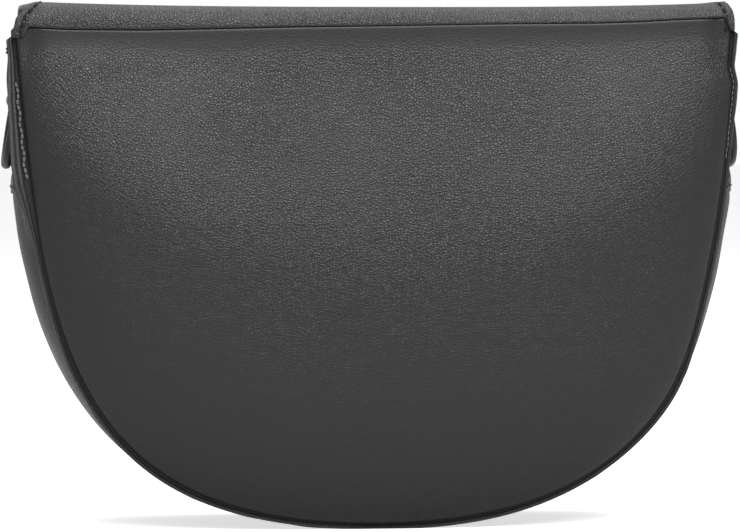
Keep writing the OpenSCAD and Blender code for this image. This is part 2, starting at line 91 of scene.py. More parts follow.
class Curve:
    """One half of a D's edge, a cubic from the bottom centre up the side, measured along its length."""

    def __init__(self, c, count=600):
        t = np.linspace(0, 1, count)[:, None]
        self.p = (1 - t) ** 3 * c[0] + 3 * (1 - t) ** 2 * t * c[1] + 3 * (1 - t) * t * t * c[2] + t**3 * c[3]
        d = unit((1 - t) ** 2 * (c[1] - c[0]) + 2 * (1 - t) * t * (c[2] - c[1]) + t * t * (c[3] - c[2]))
        self.n = np.stack([d[:, 1], -d[:, 0]], axis=1)
        self.s = np.concatenate([[0], np.cumsum(np.linalg.norm(np.diff(self.p, axis=0), axis=1))])
        self.length = self.s[-1]

    def at(self, s, out=0.0):
        """Points at lengths s, negative ones on the -X side, moved outwards by out."""
        s, out = np.broadcast_arrays(np.asarray(s, float), np.asarray(out, float))
        side = np.where(s < 0, -1.0, 1.0)
        a = np.minimum(np.abs(s), self.length)
        p = np.stack([np.interp(a, self.s, self.p[:, k]) for k in (0, 1)], axis=-1)
        n = unit(np.stack([np.interp(a, self.s, self.n[:, k]) for k in (0, 1)], axis=-1))
        q = p + out[..., None] * n
        q[..., 0] *= side
        return q

    def length_at(self, z):
        return float(np.interp(z, self.p[:, 1], self.s))


SEAM = Curve(SEAM_CURVE)
GUSSET_END = SEAM.length_at(GUSSET_TOP)


def graded(count, ends=0.7):
    """Shares from 0 to 1 that lie closer together towards both ends."""
    k = np.linspace(0, 1, count + 1)
    return (1 - ends) * k + ends * (1 - np.cos(math.pi * k)) / 2


def d_grid(curve, end, out, top, across=92, up=60, corner=0.5):
    """A grid over a D, [row up][column from -X to +X], whose four sides are the curve and the line top(x)."""
    s0, s1 = corner * end, end
    u, v = graded(across), graded(up)
    low = curve.at(s0 * (2 * u - 1), out)
    right = curve.at(s0 + (s1 - s0) * v, out)
    x1 = right[-1, 0]
    high_x = x1 * (2 * u - 1)
    high = np.stack([high_x, top(high_x)], axis=1)
    left = right * [-1, 1]
    right = right + v[:, None] ** 3 * (high[-1] - right[-1])
    left = left + v[:, None] ** 3 * (high[0] - left[-1])
    u_, v_ = u[None, :, None], v[:, None, None]
    grid = (1 - v_) * low[None] + v_ * high[None] + (1 - u_) * left[:, None] + u_ * right[:, None]
    ends = (1 - u_) * (1 - v_) * low[0] + u_ * (1 - v_) * low[-1] + (1 - u_) * v_ * high[0] + u_ * v_ * high[-1]
    return grid - ends


def edge_loop(rows, columns):
    """Indices round a grid's edge: along the bottom, up the +X side, back along the top and down."""
    grid = np.arange(rows * columns).reshape(rows, columns)
    return np.concatenate([grid[0, :-1], grid[:-1, -1], grid[-1, :0:-1], grid[:0:-1, 0]])


# Meshes


def new_object(name, mesh, material):
    """An object at the origin for a finished mesh, with smooth faces."""
    thing = bpy.data.objects.new(name, mesh)
    bpy.context.scene.collection.objects.link(thing)
    mesh.materials.append(material)
    mesh.polygons.foreach_set("use_smooth", [True] * len(mesh.polygons))
    return thing


def new_mesh(name, points, faces, material):
    """A mesh object at the origin, from points in millimetres."""
    mesh = bpy.data.meshes.new(name)
    mesh.from_pydata((np.asarray(points, float).reshape(-1, 3) * MM).tolist(), [], [list(map(int, f)) for f in faces])
    mesh.update()
    return new_object(name, mesh, material)


def grid_faces(rows, columns, closed=False, start=0, flip=False):
    """Faces over a grid of points, which may close on itself across its columns."""
    faces = []
    for i in range(rows - 1):
        for j in range(columns if closed else columns - 1):
            a, b = start + i * columns + j, start + i * columns + (j + 1) % columns
            face = (a, b, b + columns, a + columns)
            faces.append(face[::-1] if flip else face)
    return faces


def outwards(thing):
    """Turns every face of a closed mesh outwards."""
    mesh = bmesh.new()
    mesh.from_mesh(thing.data)
    bmesh.ops.recalc_face_normals(mesh, faces=mesh.faces)
    mesh.to_mesh(thing.data)
    mesh.free()
    thing.data.update()
    return thing


def apply_modifiers(thing):
    """Turns the object as its modifiers leave it into a plain mesh."""
    bpy.context.view_layer.update()
    evaluated = thing.evaluated_get(bpy.context.evaluated_depsgraph_get())
    mesh = bpy.data.meshes.new_from_object(evaluated)
    mesh.name = thing.name
    thing.modifiers.clear()
    thing.data = mesh
    return thing


def subdivide(thing, levels=1):
    """Smooths a mesh by subdivision, with its corners kept."""
    modifier = thing.modifiers.new("smooth", "SUBSURF")
    modifier.levels = modifier.render_levels = levels
    modifier.boundary_smooth = "PRESERVE_CORNERS"
    return apply_modifiers(thing)


WIDE_LIP_Z = [96, 108, 118, 125, 130, 139, 147, 154, 161, 168]
WIDE_LIP_OUT = [0, 1.6, 3.5, 3.7, 3.3, 2.8, 2.7, 2.0, 1.1, 1.0]


def settled(p):
    """Where use has moved the bag's own leather: points in millimetres, moved sideways by up to 4 mm.

    The upper -X side is drawn in, its lower curve is fuller, and on the upper +X side the back's lip is wide
    and the front's edge is drawn in."""
    x, y, z = p.T
    out_there = np.clip(np.abs(x) / 118, 0, 1) ** 2
    seam_x = np.interp(z, SEAM.p[:, 1], SEAM.p[:, 0])
    left_x = 1.9 * smooth((z - 152) / 8) - 2.7 * bell(z - 42, 26)
    upper = smooth((z - 112) / 30)
    wide = np.interp(z, WIDE_LIP_Z, WIDE_LIP_OUT)
    lip = wide * np.clip((x - seam_x) / 1.9, 0, 1) * smooth((y - 18) / 5)
    drawn_in = 0.9 * smooth((-y - 12) / 10) * out_there
    flatter = bell(z - 98, 38) * smooth((143 - z) / 10) * out_there * smooth((15 - y) / 15)
    moved = np.where(x < 0, left_x * out_there, lip - upper * drawn_in - flatter)
    lip_end = np.where(x < 0, 169.8, 167.4)
    beyond = np.clip(np.abs(x) - seam_x + 0.3, 0, 4) * smooth((z - lip_end) / 1.6) * smooth((y - 20) / 3)
    moved -= np.sign(x) * 0.9 * beyond
    return np.column_stack([x + moved, y, z])


def place(thing, body, slot, *nodes):
    """Gives a finished piece its body and hides the solids that it stands for. Its slot is not used."""
    if body == "bag_body":
        p = settled(points_of(thing)) * MM
        thing.data.vertices.foreach_set("co", p.astype(np.float32).ravel())
        thing.data.update()
    if body:
        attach(thing, body)
    if nodes:
        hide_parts(*nodes)
    return thing


def set_attribute(thing, name, values):
    attribute = thing.data.attributes.new(name, "FLOAT", "POINT")
    attribute.data.foreach_set("value", np.asarray(values, np.float32))


def points_of(thing):
    co = np.zeros(len(thing.data.vertices) * 3, np.float32)
    thing.data.vertices.foreach_get("co", co)
    return co.reshape(-1, 3).astype(float) / MM


# Materials


class Shader:
    """Short calls for building a material's or a group's nodes."""

    def __init__(self, tree):
        self.tree = tree

    def feed(self, socket, value):
        """Links a socket to another node's output, or gives it a plain value."""
        if isinstance(value, bpy.types.NodeSocket):
            self.tree.links.new(value, socket)
        else:
            socket.default_value = value

    def node(self, kind, inputs=None, **settings):
        node = self.tree.nodes.new(kind)
        for key, value in settings.items():
            setattr(node, key, value)
        for key, value in (inputs or {}).items():
            self.feed(node.inputs[key], value)
        return node

    def math(self, operation, a, b=0.0, clamp=False):
        return self.node("ShaderNodeMath", {0: a, 1: b}, operation=operation, use_clamp=clamp).outputs[0]

    def ramp(self, value, low, high, to_low=0.0, to_high=1.0):
        ranged = {"Value": value, "From Min": low, "From Max": high, "To Min": to_low, "To Max": to_high}
        return self.node("ShaderNodeMapRange", ranged).outputs[0]

    def mix(self, factor, a, b):
        mixed = self.node("ShaderNodeMix", data_type="RGBA")
        for k, value in ((0, factor), (6, a), (7, b)):
            self.feed(mixed.inputs[k], value)
        return mixed.outputs[2]


def group(name, inputs, outputs):
    """An empty shader group with its inputs and outputs."""
    tree = bpy.data.node_groups.new(name, "ShaderNodeTree")
    for label, kind, value in inputs:
        socket = tree.interface.new_socket(label, in_out="INPUT", socket_type=kind)
        if value is not None:
            socket.default_value = value
    for label, kind in outputs:
        tree.interface.new_socket(label, in_out="OUTPUT", socket_type=kind)
    shader = Shader(tree)
    return shader, shader.node("NodeGroupInput"), shader.node("NodeGroupOutput")


def link(shader, value, socket):
    shader.tree.links.new(value, socket)


def build_pebble_grain():
    """Embossed leather: rounded pebbles of two sizes with fine creases between them."""
    sh, given, result = group(
        "pebble_grain",
        [("Position", "NodeSocketVector", None), ("Pebble", "NodeSocketFloat", 900.0)],
        [("Height", "NodeSocketFloat"), ("Crease", "NodeSocketFloat"), ("Patch", "NodeSocketFloat")],
    )
    at = given.outputs["Position"]
    drift = sh.node("ShaderNodeTexNoise", {"Vector": at, "Scale": 260.0, "Detail": 2.0})
    pushed = sh.node("ShaderNodeVectorMath", {0: drift.outputs["Color"], 1: (0.5, 0.5, 0.5)}, operation="SUBTRACT")
    pushed = sh.node("ShaderNodeVectorMath", {0: pushed.outputs[0], "Scale": 0.0011}, operation="SCALE")
    bent = sh.node("ShaderNodeVectorMath", {0: at, 1: pushed.outputs[0]}, operation="ADD").outputs[0]
    pebbles = {"Vector": bent, "Scale": given.outputs["Pebble"]}
    cells = sh.node("ShaderNodeTexVoronoi", pebbles, feature="DISTANCE_TO_EDGE")
    pebble = sh.ramp(cells.outputs["Distance"], 0.0, 0.34)
    rounded = sh.math("POWER", pebble, 0.6)
    finer = sh.math("MULTIPLY", given.outputs["Pebble"], 2.6)
    small = sh.node("ShaderNodeTexVoronoi", {"Vector": bent, "Scale": finer}, feature="SMOOTH_F1")
    broad = sh.node("ShaderNodeTexNoise", {"Vector": at, "Scale": 22.0, "Detail": 2.0})
    patch = sh.ramp(broad.outputs["Fac"], 0.35, 0.7)
    depth = sh.ramp(patch, 0.0, 1.0, 0.7, 1.0)
    height = sh.math("MULTIPLY", rounded, depth)
    height = sh.math("SUBTRACT", height, sh.math("MULTIPLY", small.outputs["Distance"], 0.22))
    link(sh, height, result.inputs["Height"])
    link(sh, sh.ramp(rounded, 0.15, 0.6, 1.0, 0.0), result.inputs["Crease"])
    link(sh, patch, result.inputs["Patch"])
    return sh.tree


def build_weave():
    """Woven cloth on flat coordinates: warp over weft in a twill, with a slub."""
    sh, given, result = group(
        "weave",
        [("Position", "NodeSocketVector", None), ("Threads", "NodeSocketFloat", 2200.0)],
        [("Height", "NodeSocketFloat"), ("Gap", "NodeSocketFloat")],
    )
    at = sh.node("ShaderNodeSeparateXYZ", {0: given.outputs["Position"]})
    turn = sh.math("MULTIPLY", given.outputs["Threads"], 2 * math.pi)
    across = sh.math("ADD", at.outputs["X"], sh.math("MULTIPLY", at.outputs["Y"], 0.7))
    warp = sh.math("SINE", sh.math("MULTIPLY", across, turn))
    weft = sh.math("SINE", sh.math("MULTIPLY", sh.math("ADD", at.outputs["Z"], sh.math("MULTIPLY", across, 0.5)), turn))
    woven = sh.math("MULTIPLY", sh.math("ADD", sh.math("ABSOLUTE", warp), sh.math("ABSOLUTE", weft)), 0.5)
    slub = sh.node("ShaderNodeTexNoise", {"Vector": given.outputs["Position"], "Scale": 900.0, "Detail": 1.0})
    height = sh.math("ADD", woven, sh.math("MULTIPLY", slub.outputs["Fac"], 0.35))
    link(sh, height, result.inputs["Height"])
    link(sh, sh.ramp(woven, 0.1, 0.5, 1.0, 0.0), result.inputs["Gap"])
    return sh.tree


PEBBLE_GRAIN = build_pebble_grain()
WEAVE = build_weave()


def new_material(name):
    material = bpy.data.materials.new(name)
    material.use_nodes = True
    material.node_tree.nodes.clear()
    sh = Shader(material.node_tree)
    surface = sh.node("ShaderNodeBsdfPrincipled")
    sh.node("ShaderNodeOutputMaterial", {"Surface": surface.outputs[0]})
    return material, sh, surface, sh.node("ShaderNodeTexCoord").outputs["Object"]


def dress(sh, surface, values, height, depth, strength):
    """Gives a surface its values and a relief of the given depth in metres."""
    for name, value in values.items():
        sh.feed(surface.inputs[name], value)
    bump = sh.node("ShaderNodeBump", {"Height": height, "Distance": depth, "Strength": strength})
    link(sh, bump.outputs[0], surface.inputs["Normal"])


def grey(value):
    return (value, value, value, 1.0)


def leather(name, colour, crease, pebble=1080.0, depth=0.00012, rough=(0.315, 0.48), specular=0.37):
    """Pebbled leather, darkened with painted shade in its creases and seam grooves, lightened with a painted highlight
    on its edges and on the lit upper +X side, and smooth where it is pressed.
    """
    material, sh, surface, at = new_material(name)
    grain = sh.node("ShaderNodeGroup", {}, node_tree=PEBBLE_GRAIN)
    link(sh, at, grain.inputs["Position"])
    grain.inputs["Pebble"].default_value = pebble
    seam = sh.node("ShaderNodeAttribute", attribute_name="seam").outputs["Fac"]
    worn = sh.node("ShaderNodeAttribute", attribute_name="worn").outputs["Fac"]
    # Painted shade: the grain's creases are darkened towards the second colour.
    base = sh.mix(sh.math("MULTIPLY", grain.outputs["Crease"], 0.95), colour, crease)
    base = sh.mix(sh.math("MULTIPLY", grain.outputs["Patch"], 0.12), base, crease)
    # Painted highlight: pale grey where the highlight attribute is set, on edges and on the lit upper +X side.
    base = sh.mix(sh.math("MULTIPLY", worn, 0.5, clamp=True), base, grey(0.05))
    # Painted shade: near-black where the seam attribute is set, in the seam grooves, the folds and under edges.
    base = sh.mix(sh.math("MULTIPLY", seam, 0.9, clamp=True), base, grey(0.004))
    gloss = sh.ramp(grain.outputs["Crease"], 0.0, 1.0, *rough)
    gloss = sh.math("ADD", gloss, sh.math("MULTIPLY", seam, 0.3))
    pressed = sh.node("ShaderNodeAttribute", attribute_name="pressed").outputs["Fac"]
    strength = sh.math("SUBTRACT", 1.0, sh.math("MULTIPLY", pressed, 0.7))
    values = {"Base Color": base, "Roughness": gloss, "Specular IOR Level": specular}
    dress(sh, surface, values, grain.outputs["Height"], depth, strength)
    return material


def cloth(name, colour, gap, threads=2200.0, depth=0.00008, rough=0.85, sheen=0.1):
    material, sh, surface, at = new_material(name)
    weave = sh.node("ShaderNodeGroup", {}, node_tree=WEAVE)
    link(sh, at, weave.inputs["Position"])
    weave.inputs["Threads"].default_value = threads
    values = {"Base Color": sh.mix(weave.outputs["Gap"], colour, gap), "Roughness": rough, "Sheen Weight": sheen}
    dress(sh, surface, values, weave.outputs["Height"], depth, 0.8)
    return material


def nap(name, colour, dark, scale=1400.0):
    """Brushed microfibre, as on the underside of the flap."""
    material, sh, surface, at = new_material(name)
    fine = sh.node("ShaderNodeTexNoise", {"Vector": at, "Scale": scale, "Detail": 3.0})
    brushed = sh.node("ShaderNodeTexNoise", {"Vector": at, "Scale": 60.0, "Detail": 3.0})
    broad = sh.math("MULTIPLY", brushed.outputs["Fac"], 0.25)
    tone = sh.math("ADD", sh.math("MULTIPLY", fine.outputs["Fac"], 0.75), broad)
    values = {"Base Color": sh.mix(sh.ramp(tone, 0.35, 0.65), dark, colour), "Roughness": 0.9, "Sheen Weight": 0.2}
    dress(sh, surface, values, fine.outputs["Fac"], 0.00006, 0.7)
    return material


def metal(name, colour, rough, brushed=0.06):
    material, sh, surface, at = new_material(name)
    marks = sh.node("ShaderNodeTexNoise", {"Vector": at, "Scale": 420.0, "Detail": 4.0})
    wear = sh.node("ShaderNodeTexNoise", {"Vector": at, "Scale": 90.0, "Detail": 2.0})
    light = tuple(min(1.0, c * 1.35) for c in colour[:3]) + (1.0,)
    tone = sh.mix(sh.ramp(wear.outputs["Fac"], 0.4, 0.75), colour, light)
    gloss = sh.ramp(marks.outputs["Fac"], 0.2, 0.8, rough - brushed, rough + brushed)
    values = {"Base Color": tone, "Roughness": gloss, "Metallic": 1.0}
    dress(sh, surface, values, marks.outputs["Fac"], 0.00001, 0.4)
    return material


def thread(name, colour, light, specular=0.15):
    """Twisted thread: fine slanted lines along each stitch."""
    material, sh, surface, at = new_material(name)
    lines = {"Vector": at, "Scale": 900.0, "Distortion": 1.0, "Detail": 1.0}
    twist = sh.node("ShaderNodeTexWave", lines, bands_direction="DIAGONAL")
    tone = sh.mix(twist.outputs["Fac"], colour, light)
    values = {"Base Color": tone, "Roughness": 0.55, "Specular IOR Level": specular}
    dress(sh, surface, values, twist.outputs["Fac"], 0.00004, 0.6)
    return material


def flecked(name, colour, fleck, scale, rough=0.9, depth=0.0001):
    """Foam or fibre board."""
    material, sh, surface, at = new_material(name)
    cells = sh.node("ShaderNodeTexVoronoi", {"Vector": at, "Scale": scale}, feature="F1")
    tone = sh.mix(sh.ramp(cells.outputs["Distance"], 0.1, 0.6), fleck, colour)
    dress(sh, surface, {"Base Color": tone, "Roughness": rough}, cells.outputs["Distance"], depth, 0.6)
    return material


# The second colour is painted shade in the grain's creases.
HIDE = leather("bag_leather", (0.0070, 0.0066, 0.0078, 1), (0.004, 0.0038, 0.0045, 1))
LINING = cloth("lining_twill", (0.030, 0.027, 0.026, 1), (0.012, 0.011, 0.011, 1))
TAPE = cloth("zip_tape_weave", (0.020, 0.020, 0.021, 1), (0.007, 0.007, 0.007, 1), threads=1500.0, depth=0.00012)
MICROFIBRE = nap("flap_microfibre", (0.040, 0.037, 0.036, 1), (0.018, 0.017, 0.016, 1))
GUNMETAL = metal("gunmetal", (0.028, 0.028, 0.030, 1), 0.42)
THREAD = thread("stitch_thread", (0.004, 0.004, 0.005, 1), (0.014, 0.014, 0.015, 1))
# Light grey thread for the welt in the back's side seams, partly painted highlight standing in for its glints.
WELT_THREAD = thread("welt_thread", (0.05, 0.05, 0.053, 1), (0.15, 0.15, 0.155, 1), specular=0.5)
FOAM = flecked("foam", (0.30, 0.29, 0.27, 1), (0.16, 0.155, 0.15, 1), 1400.0)
BOARD = flecked("fibre_board", (0.16, 0.13, 0.10, 1), (0.09, 0.075, 0.06, 1), 700.0, depth=0.00005)
MAGNET = metal("magnet_plate", (0.55, 0.55, 0.56, 1), 0.3)


# Panels


def edge_distance(p, ring):
    """Distance of the points p from the line of points ring."""
    result = np.full(len(p), 1e9)
    for start in range(0, len(p), 2000):
        block = p[start : start + 2000]
        result[start : start + 2000] = np.sqrt(((block[:, None] - ring[None]) ** 2).sum(-1)).min(1)
    return result


RAMP_WAY = [0, 0.05, 0.1, 0.15, 0.2, 0.27, 0.37, 0.5, 0.65, 0.78, 0.87, 0.95, 1.02, 1.1]
RAMP_RISE = [0, 0.018, 0.05, 0.1, 0.165, 0.265, 0.405, 0.575, 0.755, 0.885, 0.95, 0.984, 0.998, 1.0]
CREST_X = [-125, -100, -83, -55, 0, 61, 88, 105, 125]
CREST_WAY = [50, 65, 73, 83, 92, 80, 65, 52, 40]
DOME_WAY = 72


def rounded(way):
    """A stuffed edge's rise from 0 to 1 over the first DOME_WAY millimetres."""
    return (1 - (1 - np.minimum(way / DOME_WAY, 1)) ** 2.4) ** 0.62


def dome(p, curve, end, top, bulge, slack, lift=0.0):
    """How far a stuffed D stands out at the points p, from lift along its top seam.

    It rises fast from its sides and base. Under its top seam the leather hangs flat and then slopes out,
    over a shorter way towards the two upper corners."""
    flat = p.reshape(-1, 2)
    x, z = flat[:, 0], flat[:, 1]
    from_side = edge_distance(flat, curve.at(np.linspace(-end, end, 700)))
    from_side[np.abs(x) > np.interp(z, curve.p[:, 1], curve.p[:, 0])] = 0
    under = np.maximum(top(x) - z, 0)
    ramp = np.interp(under / np.interp(x, CREST_X, CREST_WAY), RAMP_WAY, RAMP_RISE)
    ramp = (1 - slack) * rounded(under) + slack * ramp
    rise = bulge * rounded(from_side) * ramp + lift * (1 - ramp) * smooth((122 - np.abs(x)) / 9)
    return rise.reshape(p.shape[:-1])


def ways_out(ring):
    """Directions out of a closed line of points that runs round its inside anticlockwise."""
    beside = np.roll(ring, -1, axis=0) - np.roll(ring, 1, axis=0)
    return unit(np.column_stack([beside[:, 1], -beside[:, 0]]))


def shell_faces(rows, columns, loop, rings):
    """Faces of a shell: its outer grid, bands over the rings of points round its edge, and its inner grid."""
    total, count = rows * columns, len(loop)
    last = total + rings * count
    bands = [loop] + [np.arange(total + k * count, total + (k + 1) * count) for k in range(rings)] + [loop + last]
    faces = grid_faces(rows, columns)
    for a, b in zip(bands[:-1], bands[1:]):
        faces += [(a[i], b[i], b[(i + 1) % count], a[(i + 1) % count]) for i in range(count)]
    return faces + grid_faces(rows, columns, start=last, flip=True)


def along_top(across, up):
    """1 at the points of a grid's edge that lie along its top, and 0 at the others."""
    mask = np.zeros(2 * (across + up))
    mask[across + up : 2 * across + up + 1] = 1
    return mask


def skin(name, grid, to_space, rings, depth, material, level=1, cap=None):
    """A shell over a flat grid: its outer face, the rings round its edge and its inner face.

    Each ring is a way out from the grid's edge, a height over the face, a painted shade and a painted highlight.
    Where cap is true along the edge, the edge is cut square."""
    rows, columns = grid.shape[:2]
    flat = grid.reshape(-1, 2)
    loop = edge_loop(rows, columns)
    ring = flat[loop]
    count = len(loop)
    out = ways_out(ring)
    zero = np.zeros(len(flat))
    # seam holds each point's painted shade, the list after it each point's painted highlight.
    parts, seam, worn = [to_space(flat, zero)], [zero], [zero]
    for values in rings:
        o, h, dark, wear = (np.broadcast_to(np.asarray(value, float), (count,)) for value in values)
        parts.append(to_space(ring + o[:, None] * out, h))
        seam.append(dark)
        worn.append(wear)
    parts.append(to_space(flat, -np.broadcast_to(np.asarray(depth, float), (len(flat),))))
    thing = new_mesh(name, np.concatenate(parts), shell_faces(rows, columns, loop, len(rings)), material)
    if cap is not None:
        first = (rows - 1) * (columns - 1)
        for k in range((len(rings) + 1) * count):
            if cap[k % count] and cap[(k + 1) % count]:
                thing.data.polygons[first + k].use_smooth = False
    set_attribute(thing, "seam", np.concatenate(seam + [zero]))
    set_attribute(thing, "worn", np.concatenate(worn + [zero]))
    outwards(thing)
    return subdivide(thing, level) if level else thing


# Side edge rings: way out, height over the face and painted shade, dark in the groove and in the ridge's dips.
SIDE_EDGE = [
    (0.45, -0.7, 0.6), (0.8, -1.3, 1.3), (1.35, -1.25, 1.3), (1.68, -0.45, 1.2), (2.05, 0.05, 0),
    (2.3, -0.5, 1.4), (2.6, 0.0, 0), (2.98, -0.25, 0), (2.9, -1.2, 0.4), (0.7, -1.5, 0.6),
]
TUCKED_EDGE = [
    (0.25, -0.25), (0.45, -0.9), (0.5, -1.3), (0.6, -1.5), (0.7, -1.7),
    (0.7, -1.9), (0.6, -2.1), (0.4, -2.2), (0.2, -2.3), (0.0, -2.4),
]
PLAIN_EDGE = [
    (0.3, -0.05), (0.6, -0.15), (0.8, -0.4), (0.85, -0.65), (0.8, -0.9),
    (0.6, -1.1), (0.4, -1.18), (0.3, -1.2), (0.1, -1.2), (0.0, -1.2),
]
TURN_OVER = 1.1

# The rings of the edge that waver, and those that get a painted highlight all round or only high on the +X side, where
# light falls
WAVERING = (3, 4, 5, 6, 7)
PAINTED_HIGHLIGHT_RINGS = (4, 6, 7)
PAINTED_HIGHLIGHT_HIGH_RINGS = (3, 4, 6, 7, 8)
PANEL_IN, PANEL_DOWN = 1.1, 0.4
PRESSED_FROM, PRESSED_OVER = 13, 9


def panel(name, end, top, bulge, slack, side, top_edge, turn):
    """A stuffed D of leather with the groove of its seam and the lip beyond it."""
    across, up = 92, 60
    grid = d_grid(SEAM, end, -PANEL_IN, lambda x: top(x) - PANEL_DOWN, across, up)

    def to_space(p, h):
        y = FACE_Y + dome(p, SEAM, end, top, bulge, slack, turn) + h
        return np.column_stack([p[:, 0], side * y, np.maximum(p[:, 1], FLOOR_GAP)])

    at_top = along_top(across, up)
    step = np.arange(len(at_top))
    edge = grid.reshape(-1, 2)[edge_loop(*grid.shape[:2])]
    # Painted highlight on the upper +X side, where light falls on the lip.
    highlight_high_right = (edge[:, 0] > 0) * smooth((edge[:, 1] - 112) / 12)
    wobble = (0.2 * np.sin(step * 0.21) + 0.14 * np.sin(step * 0.083 + 1.0)) * (1 - at_top)
    rings = []
    for k, ((o, h, dark), (top_o, top_h)) in enumerate(zip(SIDE_EDGE, top_edge)):
        move = wobble if k in WAVERING else 0
        o = (1 - at_top) * o + at_top * top_o + 0.8 * move
        h = (1 - at_top) * h + at_top * top_h + 0.4 * move
        # Painted highlight on the lip's face and edges, painted shade in the groove.
        highlight_share = 0.9 if k in PAINTED_HIGHLIGHT_RINGS else 0.0
        if k in PAINTED_HIGHLIGHT_HIGH_RINGS:
            highlight_share = highlight_share + 0.9 * highlight_high_right
        rings.append((o, h, dark * (1 - 0.4 * at_top), highlight_share * (1 - at_top)))
    hide = skin(name, grid, to_space, rings, LEATHER, HIDE)
    x, _, z = points_of(hide).T
    set_attribute(hide, "pressed", smooth((z - top(x) + PRESSED_FROM) / PRESSED_OVER))
    return hide


def flat_top(x):
    return np.full(np.shape(x), GUSSET_TOP)


def layer(name, end, top, bulge, slack, side, outer, thick, inset, material, low):
    """Foam or lining behind a panel, a thin layer that follows the panel's dome."""
    grid = d_grid(SEAM, end, -inset, lambda x: top(x) - inset, 60, 40)
    flat = grid.reshape(-1, 2)

    def to_space(p, h):
        y = outer(p[:, 1]) + dome(p, SEAM, end, top, bulge, slack) + h
        return np.column_stack([p[:, 0], side * y, np.maximum(p[:, 1], low)])

    t = thick(flat[edge_loop(*grid.shape[:2])][:, 1])
    rings = [(0.25 * t, -0.15 * t, 0, 0), (0.35 * t, -0.5 * t, 0, 0), (0.25 * t, -0.85 * t, 0, 0)]
    return skin(name, grid, to_space, rings, thick(flat[:, 1]), material)


def foam_thick(z):
    return 2 - 1.4 * smooth((z - 122) / 26)


def foam_outer(z):
    return FACE_Y - LEATHER - 0.2 + 0 * z


def lining_outer(z):
    return foam_outer(z) - foam_thick(z) - 0.2


def lining_thick(z):
    return 0.5 + 0 * z


def d_area(end, top, inset):
    """Flat area of a D in square metres."""
    ring = d_grid(SEAM, end, -inset, lambda x: top(x) - inset, 60, 40)
    ring = ring.reshape(-1, 2)[edge_loop(*ring.shape[:2])]
    x, z = ring[:, 0], ring[:, 1]
    return abs(np.sum(x * np.roll(z, -1) - z * np.roll(x, -1))) / 2 * MM * MM


# How far round its D each panel runs, its top line, its bulge and how slack its top hangs
BACK = (SEAM.length, seam_height, BACK_BULGE, 1.0)
FRONT = (GUSSET_END, flat_top, FRONT_BULGE, 0.25)
PADDING_IN, PADDING_LOW = 8.0, 6.8

back = panel("back_panel_hide", *BACK, 1, TUCKED_EDGE, TURN_OVER)
place(back, "bag_body", "leather", "back_panel")
front = panel("front_panel_hide", *FRONT, -1, PLAIN_EDGE, 0.0)
place(front, "bag_body", "leather", "front_panel")
for label, (end, top, bulge, slack), side in (("back", BACK, 1), ("front", FRONT, -1)):
    form = (end, top, bulge, slack, side)
    foam = layer(label + "_foam", *form, foam_outer, foam_thick, PADDING_IN, FOAM, PADDING_LOW)
    place(foam, "bag_body", "foam", label + "_padding")
    twill = layer(label + "_lining_twill", *form, lining_outer, lining_thick, PADDING_IN, LINING, PADDING_LOW)
    place(twill, "bag_body", "lining", label + "_lining")
    d_area(end, top, PADDING_IN)


# Gusset: one strip round both sides and the base


WEB_HALF = 23.8


def gusset_rise(z):
    """How far the middle of the gusset stands out at a height."""
    upper = 11.5 * smooth((146 - z) / 34) - 5
    lower = 6.5 * (0.2 + 0.8 * smooth(z / 95))
    return np.where(z > 95, upper, lower)


def web_point(s, v, out):
    """A point of the gusset at length s along the seam and share v of its depth."""
    z = SEAM.at(s)[..., 1]
    q = SEAM.at(s, out + gusset_rise(z) * (1 - np.abs(v) ** 3.4))
    return np.stack([q[..., 0], v * WEB_HALF + 0 * z, np.maximum(q[..., 1], FLOOR_GAP)], axis=-1)


def gusset_mesh():
    """The gusset's web with its two turned lips, as one closed section swept along the seam."""
    stations = np.linspace(-GUSSET_END, GUSSET_END, 241)
    vs = graded(22, 0.5)[1:-1] * 1.97 - 0.985
    s = stations[:, None]
    crease = 0.35 * np.sin(stations * 0.23) * bell(np.abs(stations) - GUSSET_END + 30, 45)
    crease = crease[:, None] * (1 - vs[None] ** 2)
    lip_out = LIP + 0.15 * np.sin(stations * 0.31) + 0.1 * np.sin(stations * 0.13)

    def lip(out, y):
        q = SEAM.at(stations, np.where(out > 1, lip_out + out - LIP, out))
        return np.column_stack([q[:, 0], np.full(len(stations), y), np.maximum(q[:, 1], FLOOR_GAP)])[:, None]

    outer = [lip(1.7, -24.0), lip(0.6, -23.9), web_point(s, vs[None], crease), lip(0.6, 23.9), lip(1.7, 24.0)]
    back_lip = [lip(1.9, 24.4), lip(1.75, 24.85), lip(0.0, 24.95), lip(-1.2, 24.95)]
    inside = [web_point(s, vs[None], crease - LEATHER)[:, ::-1]]
    front_lip = [lip(-1.2, -24.95), lip(0.0, -24.95), lip(1.75, -24.85), lip(1.9, -24.4)]
    section = np.concatenate(outer + back_lip + inside + front_lip, axis=1)
    rows, columns = section.shape[:2]
    faces = grid_faces(rows, columns, closed=True)
    web_columns = len(vs) + 4
    for first in (0, (rows - 1) * columns):
        for k in range(-1, web_columns):
            cap = (k % columns, k + 1, columns - 4 - k, columns - 3 - k)
            faces.append(tuple(first + c for c in cap))
    thing = new_mesh("gusset_hide", section.reshape(-1, 3), faces, HIDE)
    # Painted shade along the folds where the lips meet the web.
    seam = np.zeros((rows, columns))
    seam[:, [1, web_columns - 2]] = 0.7
    # Painted highlight along the lips' edges.
    worn = np.zeros((rows, columns))
    worn[:, [0, web_columns - 1, web_columns, columns - 1]] = 0.7
    set_attribute(thing, "seam", seam.reshape(-1))
    set_attribute(thing, "worn", worn.reshape(-1))
    return subdivide(outwards(thing))


def skived(share, low, high, thinning):
    """Height of a strip's face over the gusset, falling towards the strip's two ends."""
    thin = thinning * smooth((np.abs(share) - 0.7) / 0.3)
    return high * (1 - thin) + low * thin


